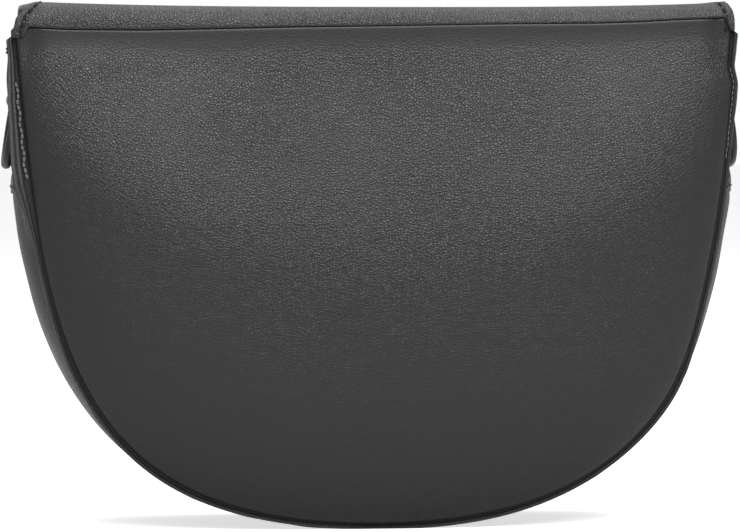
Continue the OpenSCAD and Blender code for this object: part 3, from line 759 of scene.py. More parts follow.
def web_strip(name, s0, s1, low, high, depth_share, material, count, thinning=0.0):
    """A strip that lies on the gusset's web, from low to high off it, with rounded edges."""
    stations = np.linspace(s0, s1, count)
    vs = graded(24, 0.5) * 2 - 1
    s, v = np.meshgrid(stations, vs, indexing="ij")
    flat = np.stack([s, v * depth_share], axis=-1)
    half = (high - low) / 2

    def to_space(p, h):
        share = 2 * (p[:, 0] - s0) / (s1 - s0) - 1
        face = skived(share, low, high, thinning)
        down = np.clip(h / (low - high), 0, 1)
        return web_point(p[:, 0], np.clip(p[:, 1], -0.995, 0.995), face + (low - face) * down)

    rows, columns = flat.shape[:2]
    loop = edge_loop(rows, columns)
    ring = flat.reshape(-1, 2)[loop]
    out = ways_out(ring * [1, WEB_HALF]) * [1, 1 / WEB_HALF]
    parts = [to_space(flat.reshape(-1, 2), 0)]
    for share, h in ((0.5, -0.25), (0.7, -1.0), (0.5, -1.75)):
        parts.append(to_space(ring + share * half * out, h * half))
    parts.append(to_space(flat.reshape(-1, 2), low - high))
    return outwards(new_mesh(name, np.concatenate(parts), shell_faces(rows, columns, loop, 3), material))


STRIP_SHARE = 0.97
INNER_DEPTH = (-3.3, -2.8)
place(gusset_mesh(), "bag_body", "leather", "gusset")
inner_strip = web_strip("gusset_lining_twill", -GUSSET_END, GUSSET_END, *INNER_DEPTH, STRIP_SHARE, LINING, 181)
place(inner_strip, "bag_body", "lining", "gusset_lining")
PATCH_DEPTH = (0.2, 1.2)
PATCH_THINNING = 0.65
PATCH_LOW_Z, PATCH_HIGH_Z = 116, 153.5
PATCH_LOW, PATCH_HIGH = SEAM.length_at(PATCH_LOW_Z), SEAM.length_at(PATCH_HIGH_Z)
for label, side in (("right", 1), ("left", -1)):
    ends = sorted((side * PATCH_LOW, side * PATCH_HIGH))
    patch = web_strip("ring_patch_" + label, *ends, *PATCH_DEPTH, STRIP_SHARE, HIDE, 44, thinning=PATCH_THINNING)
    place(patch, "bag_body", "leather", "gusset_patch_" + label)


# Flap: over the top and down the front

ROOT_LOW = 168.0
BACK_ROLL = (5.2, 8.6)
FRONT_ROLL = 9.5
FOLD_Z = BAG_TOP - FRONT_ROLL
FLAP_TIP = 12.0
FLAP_TOP = 169.7
FLAP_SWELL = 5.4


def flap_side_view():
    """The flap's outer face seen from its side, as points (y, z) from its foot on the back to its tip."""
    ry, rz = BACK_ROLL
    points = [(ROOT_Y, z) for z in np.linspace(ROOT_LOW, BAG_TOP - rz, 8)[:-1]]
    turn = np.linspace(0, math.pi / 2, 80)
    points += [(ROOT_Y - ry + ry * math.cos(a), BAG_TOP - rz + rz * math.sin(a)) for a in turn]
    points += [(y, BAG_TOP) for y in np.linspace(ROOT_Y - ry, FLAP_Y + FRONT_ROLL, 60)[1:-1]]
    turn = np.linspace(math.pi / 2, math.pi, 80)
    points += [(FLAP_Y + FRONT_ROLL * (1 + math.cos(a)), FOLD_Z + FRONT_ROLL * math.sin(a)) for a in turn]
    points += [(FLAP_Y, z) for z in np.linspace(FOLD_Z, 0, 60)[1:]]
    return np.array(points)


SIDE_VIEW = flap_side_view()
SIDE_Q = np.concatenate([[0], np.cumsum(np.linalg.norm(np.diff(SIDE_VIEW, axis=0), axis=1))])
SIDE_NORMAL = unit(np.gradient(SIDE_VIEW, SIDE_Q, axis=0)) @ np.array([[0, -1], [1, 0]])
CROWN = int(np.argmax(SIDE_VIEW[:, 1] >= BAG_TOP - 1e-6))
Q_TOP = SIDE_Q[CROWN]
Q_MID = float(np.interp(0, -SIDE_VIEW[CROWN:, 0], SIDE_Q[CROWN:]))
Q_FRONT = Q_MID - FLAP_Y - FRONT_ROLL + FRONT_ROLL * math.pi / 2
FLAP_END = FOLD_Z + Q_FRONT - Q_MID


def q_at(z):
    """Length along the flap at height z on its back."""
    return np.interp(z, SIDE_VIEW[: CROWN + 1, 1], SIDE_Q[: CROWN + 1])


def flap_place(x, q, h):
    """A point h off the flap's outer face, q millimetres along it from its foot on the back.

    The top sags between the bag's two sides, and at the +X side's end."""
    y, z = (np.interp(q, SIDE_Q, SIDE_VIEW[:, k]) for k in (0, 1))
    ny, nz = (np.interp(q, SIDE_Q, SIDE_NORMAL[:, k]) for k in (0, 1))
    sag = np.clip(nz, 0, 1) * (1.7 * np.abs(x / 121) ** 3 - 0.9 - 1.2 * smooth((x - 114.5) / 6.5))
    return np.column_stack([x, y + h * ny, z + sag + h * nz])


class FlapCurve(Curve):
    """The front flap's edge, carried straight on over the top to the middle."""

    def __init__(self):
        half = FLAP_HALF
        rise = FLAP_TOP - FLAP_TIP
        corners = [[0, FLAP_TIP], [0.89 * half, FLAP_TIP], [half - 9.5, FLAP_TIP + 0.4 * rise], [half, FLAP_TOP]]
        super().__init__(np.array(corners))
        self.fold = self.length
        extra = np.linspace(0, 1, 120)[1:, None]
        on = np.array([[half, FLAP_TOP]]) * (1 - extra) + np.array([[half - 0.5, FLAP_END]]) * extra
        self.p = np.concatenate([self.p, on])
        self.n = np.concatenate([self.n, np.tile([1.0, 0.0], (len(on), 1))])
        self.s = np.concatenate([[0], np.cumsum(np.linalg.norm(np.diff(self.p, axis=0), axis=1))])
        self.length = self.s[-1]


FLAP = FlapCurve()


def flap_top_line(x):
    return np.full(np.shape(x), FLAP_TOP)


def edge_band(e):
    """The raised turned edge inside the flap's outline and the channel of its stitches."""
    return 0.35 * smooth((3.1 - e) / 0.8) - 0.45 * bell(e - 2.9, 0.55)


def band_pleats(e, along):
    return 0.1 * smooth((2.6 - e) / 0.6) * np.sin(along * 5.5 + 1.3 * np.sin(along * 0.8))


# Flap edge rings: way out, height, painted shade under the rolled edge and painted highlight on its face.
RIM = [(0.3, -0.08, 0, 0.5), (0.5, -0.35, 0, 0.8), (0.55, -0.6, 0, 0.5), (0.5, -0.85, 0.2, 0), (0.3, -1.12, 0.4, 0)]
THIN_RIM = [(0.15, -0.1, 0, 0), (0.2, -0.4, 0, 0), (0.15, -0.7, 0, 0)]
THIN_RIM_EVEN = [(0.1, -0.1, 0, 0), (0.15, -0.35, 0, 0), (0.1, -0.6, 0, 0)]
FLAP_RING = FLAP.at(np.linspace(-FLAP.length, FLAP.length, 900))


def butt(rings, square):
    """The edge rings of a piece whose edge is cut square where square is 1."""
    kept = 1 - square
    # The painted shade and the painted highlight are dropped where the edge is cut square.
    return [(o * kept, h, dark * kept, wear * kept) for o, h, dark, wear in rings]


def front_layer(
    name, inset, under, thick, rings, material, banded=False, top_v=FLAP_END, across=92, up=84, flap_d=False
):
    """One layer of the flap's front and of the front half of its top, under(v) behind the outer face."""
    end = FLAP.length_at(top_v) if flap_d else FLAP.length
    grid = d_grid(FLAP, end, -inset, lambda x: np.full(np.shape(x), top_v), across, up, corner=0.45 if flap_d else 0.32)

    def to_space(p, h):
        x, v = p[:, 0], p[:, 1]
        q = Q_FRONT + FOLD_Z - v
        swell = dome(p, FLAP, FLAP.fold, flap_top_line, FLAP_SWELL, 0.6) * (v < FLAP_TOP)
        raised = 0
        if banded:
            e = edge_distance(p, FLAP_RING)
            raised = (edge_band(e) + band_pleats(e, v)) * smooth(1 + h)
        return flap_place(x, q, h + swell + raised - under(v))

    square = along_top(across, up)
    return skin(name, grid, to_space, butt(rings, square), thick, material, level=0, cap=square > 0)


BACK_Q = [0, 2, q_at(174.8), q_at(177), q_at(178.8), Q_TOP, Q_TOP + 5, Q_MID]
BACK_LEFT = [125.2, 125.2, 124.2, 122.8, 120.9, 118.4, 119.0, FLAP_HALF - 0.5]
BACK_RIGHT = [123.2, 123.2, 123.2, 122.9, 122.1, 120.7, 120.5, FLAP_HALF - 0.5]


def back_half(q, side):
    """Half the flap's width at a length along it, on one side."""
    return np.interp(q, BACK_Q, BACK_LEFT if side > 0 else BACK_RIGHT)


def back_layer(name, inset, under, thick, rings, material, banded=False, foot=None, across=120, up=60):
    """One layer of the flap from its seam on the back to the middle of its top."""
    u, t = graded(across, 0.85), graded(up, 0.3)[:, None]
    x = 240 * (u - 0.5)[None] + 0 * t
    for _ in range(4):
        q = foot(x) + (Q_MID - foot(x)) * t
        left, right = back_half(q, 1) - inset, back_half(q, -1) - inset
        x = -right + (left + right) * u[None]
    grid = np.stack([x, q], axis=-1)

    def to_space(p, h):
        raised = 0
        if banded:
            e = np.where(p[:, 0] > 0, back_half(p[:, 1], 1) - p[:, 0], back_half(p[:, 1], -1) + p[:, 0])
            raised = (edge_band(e) + band_pleats(e, p[:, 1])) * smooth(1 + h)
        return flap_place(p[:, 0], p[:, 1], h + raised - under(p[:, 1]))

    square = along_top(across, up)
    return skin(name, grid, to_space, butt(rings, square), thick, material, level=0, cap=square > 0)


def root_foot(x):
    """Where the flap's leather starts: along the seam, and down to the root's foot at its two ends."""
    seam = q_at(seam_height(x) + 0.6)
    dip = smooth((np.abs(x) - 119.8) / 2.4)
    return seam * (1 - dip) + dip * np.where(x > 0, 0.8, 3.4)


def no_depth(v):
    return 0 * v


BACKING_DEPTH, BACKING_THICK, BACKING_IN = 1.4, 0.8, 1.6
FLAP_IN = 0.55
STIFF_IN, STIFF_THICK, STIFF_TOP = 7, 1.2, 165.2


def backing_depth(v):
    return BACKING_DEPTH + 0 * v


def front_backing_depth(v):
    """The backing lies under the leather on the top, and under the stiffener down the front."""
    return BACKING_DEPTH + 1.4 * smooth((173 - v) / 6)


def top_backing_foot(x):
    return q_at(175.5) + 0 * x


LIFT_START, LIFT_END = (0, 0.0279, 0.1739), (0.000032, 0.0279, 0.1764)
FOLD_START, FOLD_END = (0, -0.0336, 0.1712), (0, -0.0336, 0.1685)

over_top = back_layer("flap_over_the_top", FLAP_IN, no_depth, LEATHER, RIM, HIDE, True, root_foot)
place(over_top, None, "leather", "flap_top_leather")
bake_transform(over_top)
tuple(LIFT_START)
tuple(LIFT_END)


STRIP_HALF, STRIP_LOW, STRIP_HIGH = 119.2, 171.1, 177.6
STRIP_RISE, STRIP_DEPTH, STRIP_THICK = 2.4, 2.4, 0.7


def root_strip():
    """The strip inside the flap's seam on the back, from below the seam to over it."""
    x = np.linspace(-STRIP_HALF, STRIP_HALF, 90)
    low = q_at(STRIP_LOW)
    high = q_at(np.minimum(seam_height(x) + STRIP_RISE, STRIP_HIGH))
    share = np.linspace(0, 1, 5)[:, None]
    grid = np.stack([x + 0 * share, low + (high - low) * share], axis=-1)

    def to_space(p, h):
        return flap_place(p[:, 0], p[:, 1], h - STRIP_DEPTH)

    return skin("flap_root_strip", grid, to_space, THIN_RIM_EVEN, STRIP_THICK, HIDE, level=0)


root = root_strip()
place(root, "bag_body", "leather", "flap_root")
down_front = front_layer("flap_down_the_front", FLAP_IN, no_depth, LEATHER, RIM, HIDE, True)
place(down_front, None, "leather", "flap_front_leather")
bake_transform(down_front)
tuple(FOLD_START)
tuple(FOLD_END)
under_top = back_layer(
    "flap_top_microfibre", BACKING_IN, backing_depth, BACKING_THICK, THIN_RIM, MICROFIBRE, foot=top_backing_foot
)
place(under_top, "flap_top", "lining", "flap_top_backing")
under_front = front_layer(
    "flap_front_microfibre", BACKING_IN, front_backing_depth, BACKING_THICK, THIN_RIM, MICROFIBRE
)
place(under_front, None, "lining", "flap_front_backing")
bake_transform(under_front)
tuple(FOLD_START)
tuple(FOLD_END)

stiff = front_layer(
    "flap_stiffener_board", STIFF_IN, backing_depth, STIFF_THICK, THIN_RIM, BOARD,
    top_v=STIFF_TOP, across=60, up=40, flap_d=True,
)
place(stiff, "flap_front", "board", "flap_front_stiffener")


# Rings and the tabs that hold them

PIVOT = np.array([123.06, 147.0])
WIRE = 1.7
RING_LEAN = math.radians(9.3)
RING_HALF, RING_LEG, RING_CORNER = 14.2, 8.0, 2.2


def arc(centre, radius, start, end, count):
    """Points along an arc between two angles in degrees."""
    turn = np.radians(np.linspace(start, end, count))
    return np.column_stack([centre[0] + radius * np.cos(turn), centre[1] + radius * np.sin(turn)])


def circles(line, ahead, square_to, radius, sides):
    """A circle of points round each point of a line that runs ahead and doesn't run along square_to."""
    across = unit(np.cross(ahead, np.array(square_to, float)))
    up = np.cross(ahead, across)
    turn = np.linspace(0, 2 * math.pi, sides, endpoint=False)[None, :, None]
    return line[:, None] + radius[:, None, None] * (np.cos(turn) * across[:, None] + np.sin(turn) * up[:, None])


def tube(name, path, radius, material, sides=16):
    """A round wire along a closed path of points, with a radius at each."""
    count = len(path)
    ahead = unit(np.roll(path, -1, axis=0) - np.roll(path, 1, axis=0))
    points = circles(path, ahead, (1, 0, 0), radius, sides)
    faces = []
    for i in range(count):
        for j in range(sides):
            a, b = i * sides + j, i * sides + (j + 1) % sides
            c, d = (i + 1) % count * sides + (j + 1) % sides, (i + 1) % count * sides + j
            faces.append((a, b, c, d))
    return outwards(new_mesh(name, points.reshape(-1, 3), faces, material))


def ring_path():
    """The middle of a D ring's wire: its bar, a corner, a leg, the bow and back up, as points off the pivot."""
    half, leg, corner = RING_HALF, RING_LEG, RING_CORNER
    inner = half - corner
    bar_part = [(y, 0) for y in np.linspace(-inner, inner, 26)]
    down = [(half, z) for z in np.linspace(-corner, -leg, 6)[1:]]
    bow = arc((0, -leg), half, 0, -180, 40)[1:]
    back_up = [(-half, z) for z in np.linspace(-leg, -corner, 6)[1:]]
    first_corner = arc((inner, -corner), corner, 90, 0, 8)[1:]
    last_corner = arc((-inner, -corner), corner, 180, 90, 8)[1:-1]
    return np.concatenate([bar_part, first_corner, down, bow, back_up, last_corner])


def d_ring(name, side):
    """A D ring hanging from its pivot, leaning with the gusset, with a weld in its bar."""
    flat = ring_path()
    lean = np.column_stack([-flat[:, 1] * math.sin(RING_LEAN), flat[:, 0], flat[:, 1] * math.cos(RING_LEAN)])
    points = lean + [PIVOT[0], 0, PIVOT[1]]
    points[:, 0] *= side
    weld = 0.05 * bell(flat[:, 0] - 1.0, 0.8) * (flat[:, 1] > -1)
    return tube(name, points, WIRE * (1 + weld), GUNMETAL)


def strap(name, line, width, thick, material, corner=0.35):
    """A flat strap of leather along a line of (x, z) points, lying across Y, with rounded edges."""
    line = np.asarray(line, float)
    ahead = unit(np.gradient(line, axis=0))
    normal = np.column_stack([ahead[:, 1], -ahead[:, 0]])
    half, t = width / 2, thick / 2
    edge = np.linspace(0, 1, 4)
    ys = np.concatenate([edge - half, np.linspace(2 - half, half - 2, 9), edge + half - 1])
    rim = np.clip((half - np.abs(ys)) / corner, 0, 1)
    bulge = t * np.sqrt(np.clip(1 - (1 - rim) ** 2, 0.05, 1))
    top = line[:, None] + normal[:, None] * bulge[None, :, None]
    low = (line[:, None] - normal[:, None] * bulge[None, :, None])[:, ::-1]
    section = np.concatenate([top, low], axis=1)
    y = np.concatenate([ys, ys[::-1]])[None] + 0 * section[..., 0]
    points = np.stack([section[..., 0], y, section[..., 1]], axis=-1)
    rows, columns = points.shape[:2]
    faces = grid_faces(rows, columns, closed=True)
    for first in (0, (rows - 1) * columns):
        for k in range(len(ys) - 1):
            faces.append((first + k, first + k + 1, first + columns - 2 - k, first + columns - 1 - k))
    return outwards(new_mesh(name, points.reshape(-1, 3), faces, material))


TAB_LOOP = 2.52
TAB_WIDTH, TAB_THICK = 23.6, 1.08


def tab_line():
    """The middle of a tab's leather: up its back, round the ring's bar and up its front, off the pivot."""
    back = [(-2.5, z) for z in np.linspace(10, 0.6, 9)]
    loop = arc((0, 0), TAB_LOOP, 180, 405, 30)
    front = [(0.75, 3.3), (-0.4, 5.0), (-1.15, 6.6), (-1.35, 8.2), (-1.38, 9.9)]
    return np.concatenate([back, loop, front])


for label, side in (("right", 1), ("left", -1)):
    tab = strap("ring_tab_" + label, (tab_line() + PIVOT) * [side, 1], TAB_WIDTH, TAB_THICK, HIDE)
    place(tab, "bag_body", "leather", "strap_tab_" + label)
    place(d_ring("ring_wire_" + label, side), "ring_" + label, "hardware", "d_ring_" + label)


# Stitches and zip teeth, repeated along lines by geometry nodes


def geometry_tree(name, inputs):
    """An empty geometry tree that takes lines, and the sizes in inputs."""
    tree = bpy.data.node_groups.new(name, "GeometryNodeTree")
    tree.interface.new_socket("Geometry", in_out="INPUT", socket_type="NodeSocketGeometry")
    for label, kind, value in inputs:
        socket = tree.interface.new_socket(label, in_out="INPUT", socket_type=kind)
        if value is not None:
            socket.default_value = value
    tree.interface.new_socket("Geometry", in_out="OUTPUT", socket_type="NodeSocketGeometry")
    sh = Shader(tree)
    return sh, sh.node("NodeGroupInput"), sh.node("NodeGroupOutput")


def even_places(sh, given):
    """Places at an even pitch along every line of the mesh."""
    lines = sh.node("GeometryNodeMeshToCurve", {"Mesh": given.outputs["Geometry"]})
    pitched = {"Curve": lines.outputs[0], "Length": given.outputs["Pitch"]}
    return sh.node("GeometryNodeResampleCurve", pitched, mode="LENGTH").outputs[0]


def finish_tree(sh, shapes, finish, result):
    """Ends a tree: its shapes made real, smooth and in their finish."""
    real = sh.node("GeometryNodeRealizeInstances", {0: shapes})
    smooth_shapes = sh.node("GeometryNodeSetShadeSmooth", {"Geometry": real.outputs[0]})
    done = sh.node("GeometryNodeSetMaterial", {"Geometry": smooth_shapes.outputs[0], "Material": finish})
    link(sh, done.outputs[0], result.inputs[0])
    return sh.tree


def build_stitch_row():
    """Thread stitches at an even pitch along every line of the mesh."""
    sh, given, result = geometry_tree(
        "stitch_row",
        [
            ("Pitch", "NodeSocketFloat", STITCH * MM),
            ("Length", "NodeSocketFloat", 0.0026),
            ("Thread", "NodeSocketFloat", 0.00028),
            ("Finish", "NodeSocketMaterial", None),
        ],
    )
    places = even_places(sh, given)
    half = sh.math("MULTIPLY", given.outputs["Length"], 0.5)
    low = sh.node("ShaderNodeCombineXYZ", {0: sh.math("MULTIPLY", half, -1.0)})
    high = sh.node("ShaderNodeCombineXYZ", {0: half})
    bar = sh.node("GeometryNodeCurvePrimitiveLine", {"Start": low.outputs[0], "End": high.outputs[0]})
    bar = sh.node("GeometryNodeResampleCurve", {"Curve": bar.outputs[0], "Count": 6}, mode="COUNT")
    way = sh.node("GeometryNodeSplineParameter").outputs["Factor"]
    off = sh.math("ABSOLUTE", sh.math("SUBTRACT", sh.math("MULTIPLY", way, 2.0), 1.0))
    round_end = sh.math("POWER", sh.math("SUBTRACT", 1.0, sh.math("MULTIPLY", sh.math("POWER", off, 4.0), 0.85)), 0.5)
    radius = sh.math("MULTIPLY", round_end, given.outputs["Thread"])
    ring = sh.node("GeometryNodeCurvePrimitiveCircle", {"Resolution": 6, "Radius": 1.0})
    stitch = sh.node(
        "GeometryNodeCurveToMesh",
        {"Curve": bar.outputs[0], "Profile Curve": ring.outputs[0], "Scale": radius, "Fill Caps": True},
    )
    along = sh.node("GeometryNodeInputTangent")
    turn = sh.node("FunctionNodeAlignRotationToVector", {"Vector": along.outputs[0]}, axis="X")
    rows = sh.node(
        "GeometryNodeInstanceOnPoints",
        {"Points": places, "Instance": stitch.outputs[0], "Rotation": turn.outputs[0]},
    )
    return finish_tree(sh, rows.outputs[0], given.outputs["Finish"], result)


def build_zip_teeth():
    """Metal teeth at an even pitch along a line, by turns from above and from below it."""
    sh, given, result = geometry_tree(
        "zip_teeth",
        [
            ("Pitch", "NodeSocketFloat", 0.00125),
            ("Tooth", "NodeSocketVector", (0.00085, 0.0014, 0.0023)),
            ("Finish", "NodeSocketMaterial", None),
        ],
    )
    places = even_places(sh, given)
    arm = sh.node("GeometryNodeMeshCube", {"Size": given.outputs["Tooth"]})
    arm = sh.node("GeometryNodeTransform", {"Geometry": arm.outputs[0], "Translation": (0, 0, 0.00135)})
    size = sh.node("ShaderNodeVectorMath", {0: given.outputs["Tooth"], 1: (1.25, 0.72, 0.62)}, operation="MULTIPLY")
    head = sh.node("GeometryNodeMeshCube", {"Size": size.outputs[0]})
    head = sh.node("GeometryNodeTransform", {"Geometry": head.outputs[0], "Translation": (0, 0, -0.0001)})
    tooth = sh.node("GeometryNodeJoinGeometry")
    for part in (arm, head):
        link(sh, part.outputs[0], tooth.inputs[0])
    odd = sh.math("MODULO", sh.node("GeometryNodeInputIndex").outputs[0], 2.0)
    both = sh.node("GeometryNodeJoinGeometry")
    for turned, chosen in ((0.0, odd), (math.pi, sh.math("SUBTRACT", 1.0, odd))):
        comb = sh.node(
            "GeometryNodeInstanceOnPoints",
            {"Points": places, "Selection": chosen, "Instance": tooth.outputs[0], "Rotation": (turned, 0, 0)},
        )
        link(sh, comb.outputs[0], both.inputs[0])
    return finish_tree(sh, both.outputs[0], given.outputs["Finish"], result)


def repeat_along(name, lines, tree, finish, **sizes):
    """Runs a tree on lines of points in millimetres and gives its result as a plain mesh."""
    points, edges = [], []
    for line in lines:
        line = np.asarray(line, float)
        start = len(points)
        points += (line * MM).tolist()
        edges += [(start + k, start + k + 1) for k in range(len(line) - 1)]
    mesh = bpy.data.meshes.new(name)
    mesh.from_pydata(points, edges, [])
    thing = bpy.data.objects.new(name, mesh)
    bpy.context.scene.collection.objects.link(thing)
    modifier = thing.modifiers.new(name, "NODES")
    modifier.node_group = tree
    for item in tree.interface.items_tree:
        if item.in_out == "INPUT" and item.name in sizes:
            modifier[item.identifier] = sizes[item.name]
        if item.in_out == "INPUT" and item.name == "Finish":
            modifier[item.identifier] = finish
    return apply_modifiers(thing)


STITCH_ROW = build_stitch_row()
ZIP_TEETH = build_zip_teeth()
BAND = 2.9


def sew(name, rows, finish, pitch, length, thick):
    """Rows of stitches, with their pitch, length and radius in millimetres."""
    return repeat_along(name, rows, STITCH_ROW, finish, Pitch=pitch * MM, Length=length * MM, Thread=thick * MM)


def panel_top_row():
    """The row of topstitches along the back's top seam."""
    x = np.linspace(-118.6, 119.6, 200)
    return np.column_stack([x, np.full(200, FACE_Y + TURN_OVER - 0.15), seam_height(x) + 0.15])


def flap_side_row(side):
    """The row along one side edge of the flap's top."""
    q = np.linspace(1.4 if side > 0 else 3.8, Q_MID - 0.8, 60)
    return flap_place(side * (back_half(q, side) - BAND), q, np.full(60, -0.02))


def flap_front_row():
    """The row all round the front flap's edge."""
    s = np.linspace(-FLAP.length + 0.8, FLAP.length - 0.8, 700)
    p = FLAP.at(s, -BAND)
    q = Q_FRONT + FOLD_Z - p[:, 1]
    swell = dome(p, FLAP, FLAP.fold, flap_top_line, FLAP_SWELL, 0.6) * (p[:, 1] < FLAP_TOP)
    return flap_place(p[:, 0], q, swell - 0.02)


def web_row(s, v, out):
    """A row of points on the gusset's web."""
    return web_point(*np.broadcast_arrays(np.asarray(s, float), np.asarray(v, float), np.asarray(out, float)))


PATCH_ROW_IN, PATCH_ROW_SHARE = 2.2, 0.88


def patch_rows(side):
    """The four rows round a ring patch."""
    s0, s1 = side * (PATCH_LOW + PATCH_ROW_IN), side * (PATCH_HIGH - PATCH_ROW_IN)
    s = np.linspace(s0, s1, 40)
    share = 2 * (np.abs(s) - PATCH_LOW) / (PATCH_HIGH - PATCH_LOW) - 1
    height = 0.08 + skived(share, *PATCH_DEPTH, PATCH_THINNING)
    across = np.linspace(-PATCH_ROW_SHARE, PATCH_ROW_SHARE, 60)
    rows = [web_row(s_end, across, height[0]) for s_end in (s0, s1)]
    return rows + [web_row(s, v, height) for v in (-PATCH_ROW_SHARE, PATCH_ROW_SHARE)]


def tab_rows(side):
    """The two rows that close a tab's loop, on its outer face."""
    x = side * (PIVOT[0] - 0.81)
    return [[(x, y, PIVOT[1] + up) for y in np.linspace(-10.2, 10.2, 12)] for up in (6.8, 9.0)]


bag_rows = [panel_top_row()]
for side in (1, -1):
    bag_rows += patch_rows(side) + tab_rows(side)

seam_thread = sew("seam_stitches", bag_rows, THREAD, STITCH, 2.8, 0.3)
place(seam_thread, "bag_body", "leather")


def groove_row(side, z0, z1):
    """A row of thread that shows in the back's side seam between two heights."""
    s = np.linspace(SEAM.length_at(z0), SEAM.length_at(z1), 60)
    p = SEAM.at(side * s, (0.3 if side > 0 else -0.3) + 0.1 * np.sin(s * 0.9))
    return np.column_stack([p[:, 0], FACE_Y + dome(p, SEAM, *BACK, TURN_OVER) + 0.3, p[:, 1]])


flap_tack = [(122.4, 28.15, 172.3), (122.6, 28.15, 168.8)]
lip_tack = [(126.1, FACE_Y - 0.1, 164.6), (126.1, FACE_Y - 0.1, 163.4)]
tacks = sew("corner_tacks", [flap_tack, lip_tack], THREAD, 1.2, 0.9, 0.34)
place(tacks, "bag_body", "leather")
groove_rows = [groove_row(1, 121.5, 152.5), groove_row(-1, 128, 157.5)]
groove_thread = sew("groove_stitches", groove_rows, WELT_THREAD, 1.9, 1.6, 0.18)
place(groove_thread, "bag_body", "leather")
top_rows = [flap_side_row(side) for side in (1, -1)]
top_thread = sew("flap_top_stitches", top_rows, THREAD, 3.1, 2.3, 0.36)
place(top_thread, None, "leather")
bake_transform(top_thread)
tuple(LIFT_START)
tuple(LIFT_END)
edge_thread = sew("flap_edge_stitches", [flap_front_row()], THREAD, 3.1, 2.5, 0.26)
place(edge_thread, None, "leather")
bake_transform(edge_thread)
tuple(FOLD_START)
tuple(FOLD_END)


# Inside: facings, pockets and zip


def round_edges(mesh, edges, radius):
    bmesh.ops.bevel(mesh, geom=edges, offset=radius * MM, segments=2, affect="EDGES", profile=0.6)


def flat_mesh(name, mesh):
    """Turns a bmesh block into mesh data and frees the block."""
    data = bpy.data.meshes.new(name)
    mesh.to_mesh(data)
    mesh.free()
    return data


def plate(name, xs, zs, face, thick, material, hole=None, round_off=0.3):
    """A flat piece over the cells between xs and zs, with face(x, z) as its -Y side, without the cells in the hole."""
    xs, zs = np.asarray(xs, float), np.asarray(zs, float)
    x, z = np.meshgrid(xs, zs)
    y = face(x, z)
    count = x.size
    near = np.column_stack([x.ravel(), y.ravel(), z.ravel()])
    points = np.concatenate([near, near + [0, thick, 0]])
    mesh = bmesh.new()
    verts = [mesh.verts.new(p * MM) for p in points]
    cells = {}
    for i in range(len(zs) - 1):
        for j in range(len(xs) - 1):
            cx, cz = (xs[j] + xs[j + 1]) / 2, (zs[i] + zs[i + 1]) / 2
            cells[i, j] = not (hole and hole[0] < cx < hole[1] and hole[2] < cz < hole[3])
    n = len(xs)
    for (i, j), solid in cells.items():
        if not solid:
            continue
        a, b, c, d = i * n + j, i * n + j + 1, (i + 1) * n + j + 1, (i + 1) * n + j
        mesh.faces.new([verts[k] for k in (a, b, c, d)])
        mesh.faces.new([verts[k + count] for k in (d, c, b, a)])
        for (di, dj), (p, q) in (((-1, 0), (a, b)), ((1, 0), (c, d)), ((0, 1), (b, c)), ((0, -1), (d, a))):
            if not cells.get((i + di, j + dj), False):
                mesh.faces.new([verts[k] for k in (q, p, p + count, q + count)])
    bmesh.ops.delete(mesh, geom=[v for v in mesh.verts if not v.link_faces], context="VERTS")
    bmesh.ops.recalc_face_normals(mesh, faces=mesh.faces)
    sharp = [e for e in mesh.edges if len(e.link_faces) == 2 and e.calc_face_angle(0) > 0.9]
    round_edges(mesh, sharp, round_off)
    return new_object(name, flat_mesh(name, mesh), material)


def prism(outline, y0, y1, bevel):
    """A bmesh block between y0 and y1 whose outline in X and Z is the list of points."""
    mesh = bmesh.new()
    low = [mesh.verts.new(Vector((x, y0, z)) * MM) for x, z in outline]
    high = [mesh.verts.new(Vector((x, y1, z)) * MM) for x, z in outline]
    mesh.faces.new(low)
    mesh.faces.new(high[::-1])
    for k in range(len(low)):
        j = (k + 1) % len(low)
        mesh.faces.new((low[j], low[k], high[k], high[j]))
    bmesh.ops.recalc_face_normals(mesh, faces=mesh.faces)
    round_edges(mesh, [e for e in mesh.edges if e.calc_face_angle(0) > 0.6], bevel)
    return mesh


def joined(name, parts, material):
    """One object from several objects or bmesh blocks."""
    whole = bmesh.new()
    for part in parts:
        if isinstance(part, bpy.types.Object):
            whole.from_mesh(part.data)
            bpy.data.objects.remove(part)
        else:
            data = flat_mesh("part", part)
            whole.from_mesh(data)
            bpy.data.meshes.remove(data)
    return new_object(name, flat_mesh(name, whole), material)


def spans(*parts):
    """Sorted grid lines from (start, end, count) spans."""
    return np.unique(np.round(np.concatenate([np.linspace(*part) for part in parts]), 4))


def flat_at(y):
    """A face that lies flat at one place in Y."""
    return lambda x, z: y + 0 * x


def facing_face(x, z):
    """The back facing's side towards the middle of the bag, with a wave that fades towards its ends."""
    return 21.85 + 0.12 * np.sin(x * 0.07 + z * 0.11) * smooth((114 - np.abs(x)) / 20)


ZIP_Z = 148.0
ZIP_HALF = 75
SLOT = (-ZIP_HALF, ZIP_HALF, 143, 153)
FACING_HALF, FACING_THICK = 116, 1.15
hem_x = spans((-115.5, 115.5, 60))
facing_x = spans((-FACING_HALF, -ZIP_HALF, 16), (-ZIP_HALF, ZIP_HALF, 51), (ZIP_HALF, FACING_HALF, 16))
back_z = spans((128, 143, 7), (143, 153, 5), (153, 171, 9))
zip_facing = plate("zip_facing", facing_x, back_z, facing_face, FACING_THICK, HIDE, SLOT, 0.35)
hem = plate("hem", hem_x, spans((165.5, 170.6, 4)), flat_at(22.7), 2.6, HIDE, None, 0.5)
zip_facing = joined("zip_facing_leather", [zip_facing, hem], HIDE)
place(zip_facing, "bag_body", "leather", "back_facing")
facing_x = spans((-FACING_HALF, FACING_HALF, 80))
front_z = spans((140, 166, 12))
pocket_facing = plate(
    "pocket_facing", facing_x, front_z, lambda x, z: -facing_face(x, z) - FACING_THICK, FACING_THICK, HIDE
)
hem = plate("hem", hem_x, spans((160.5, 165.6, 4)), flat_at(-25.0), 2.3, HIDE, None, 0.5)
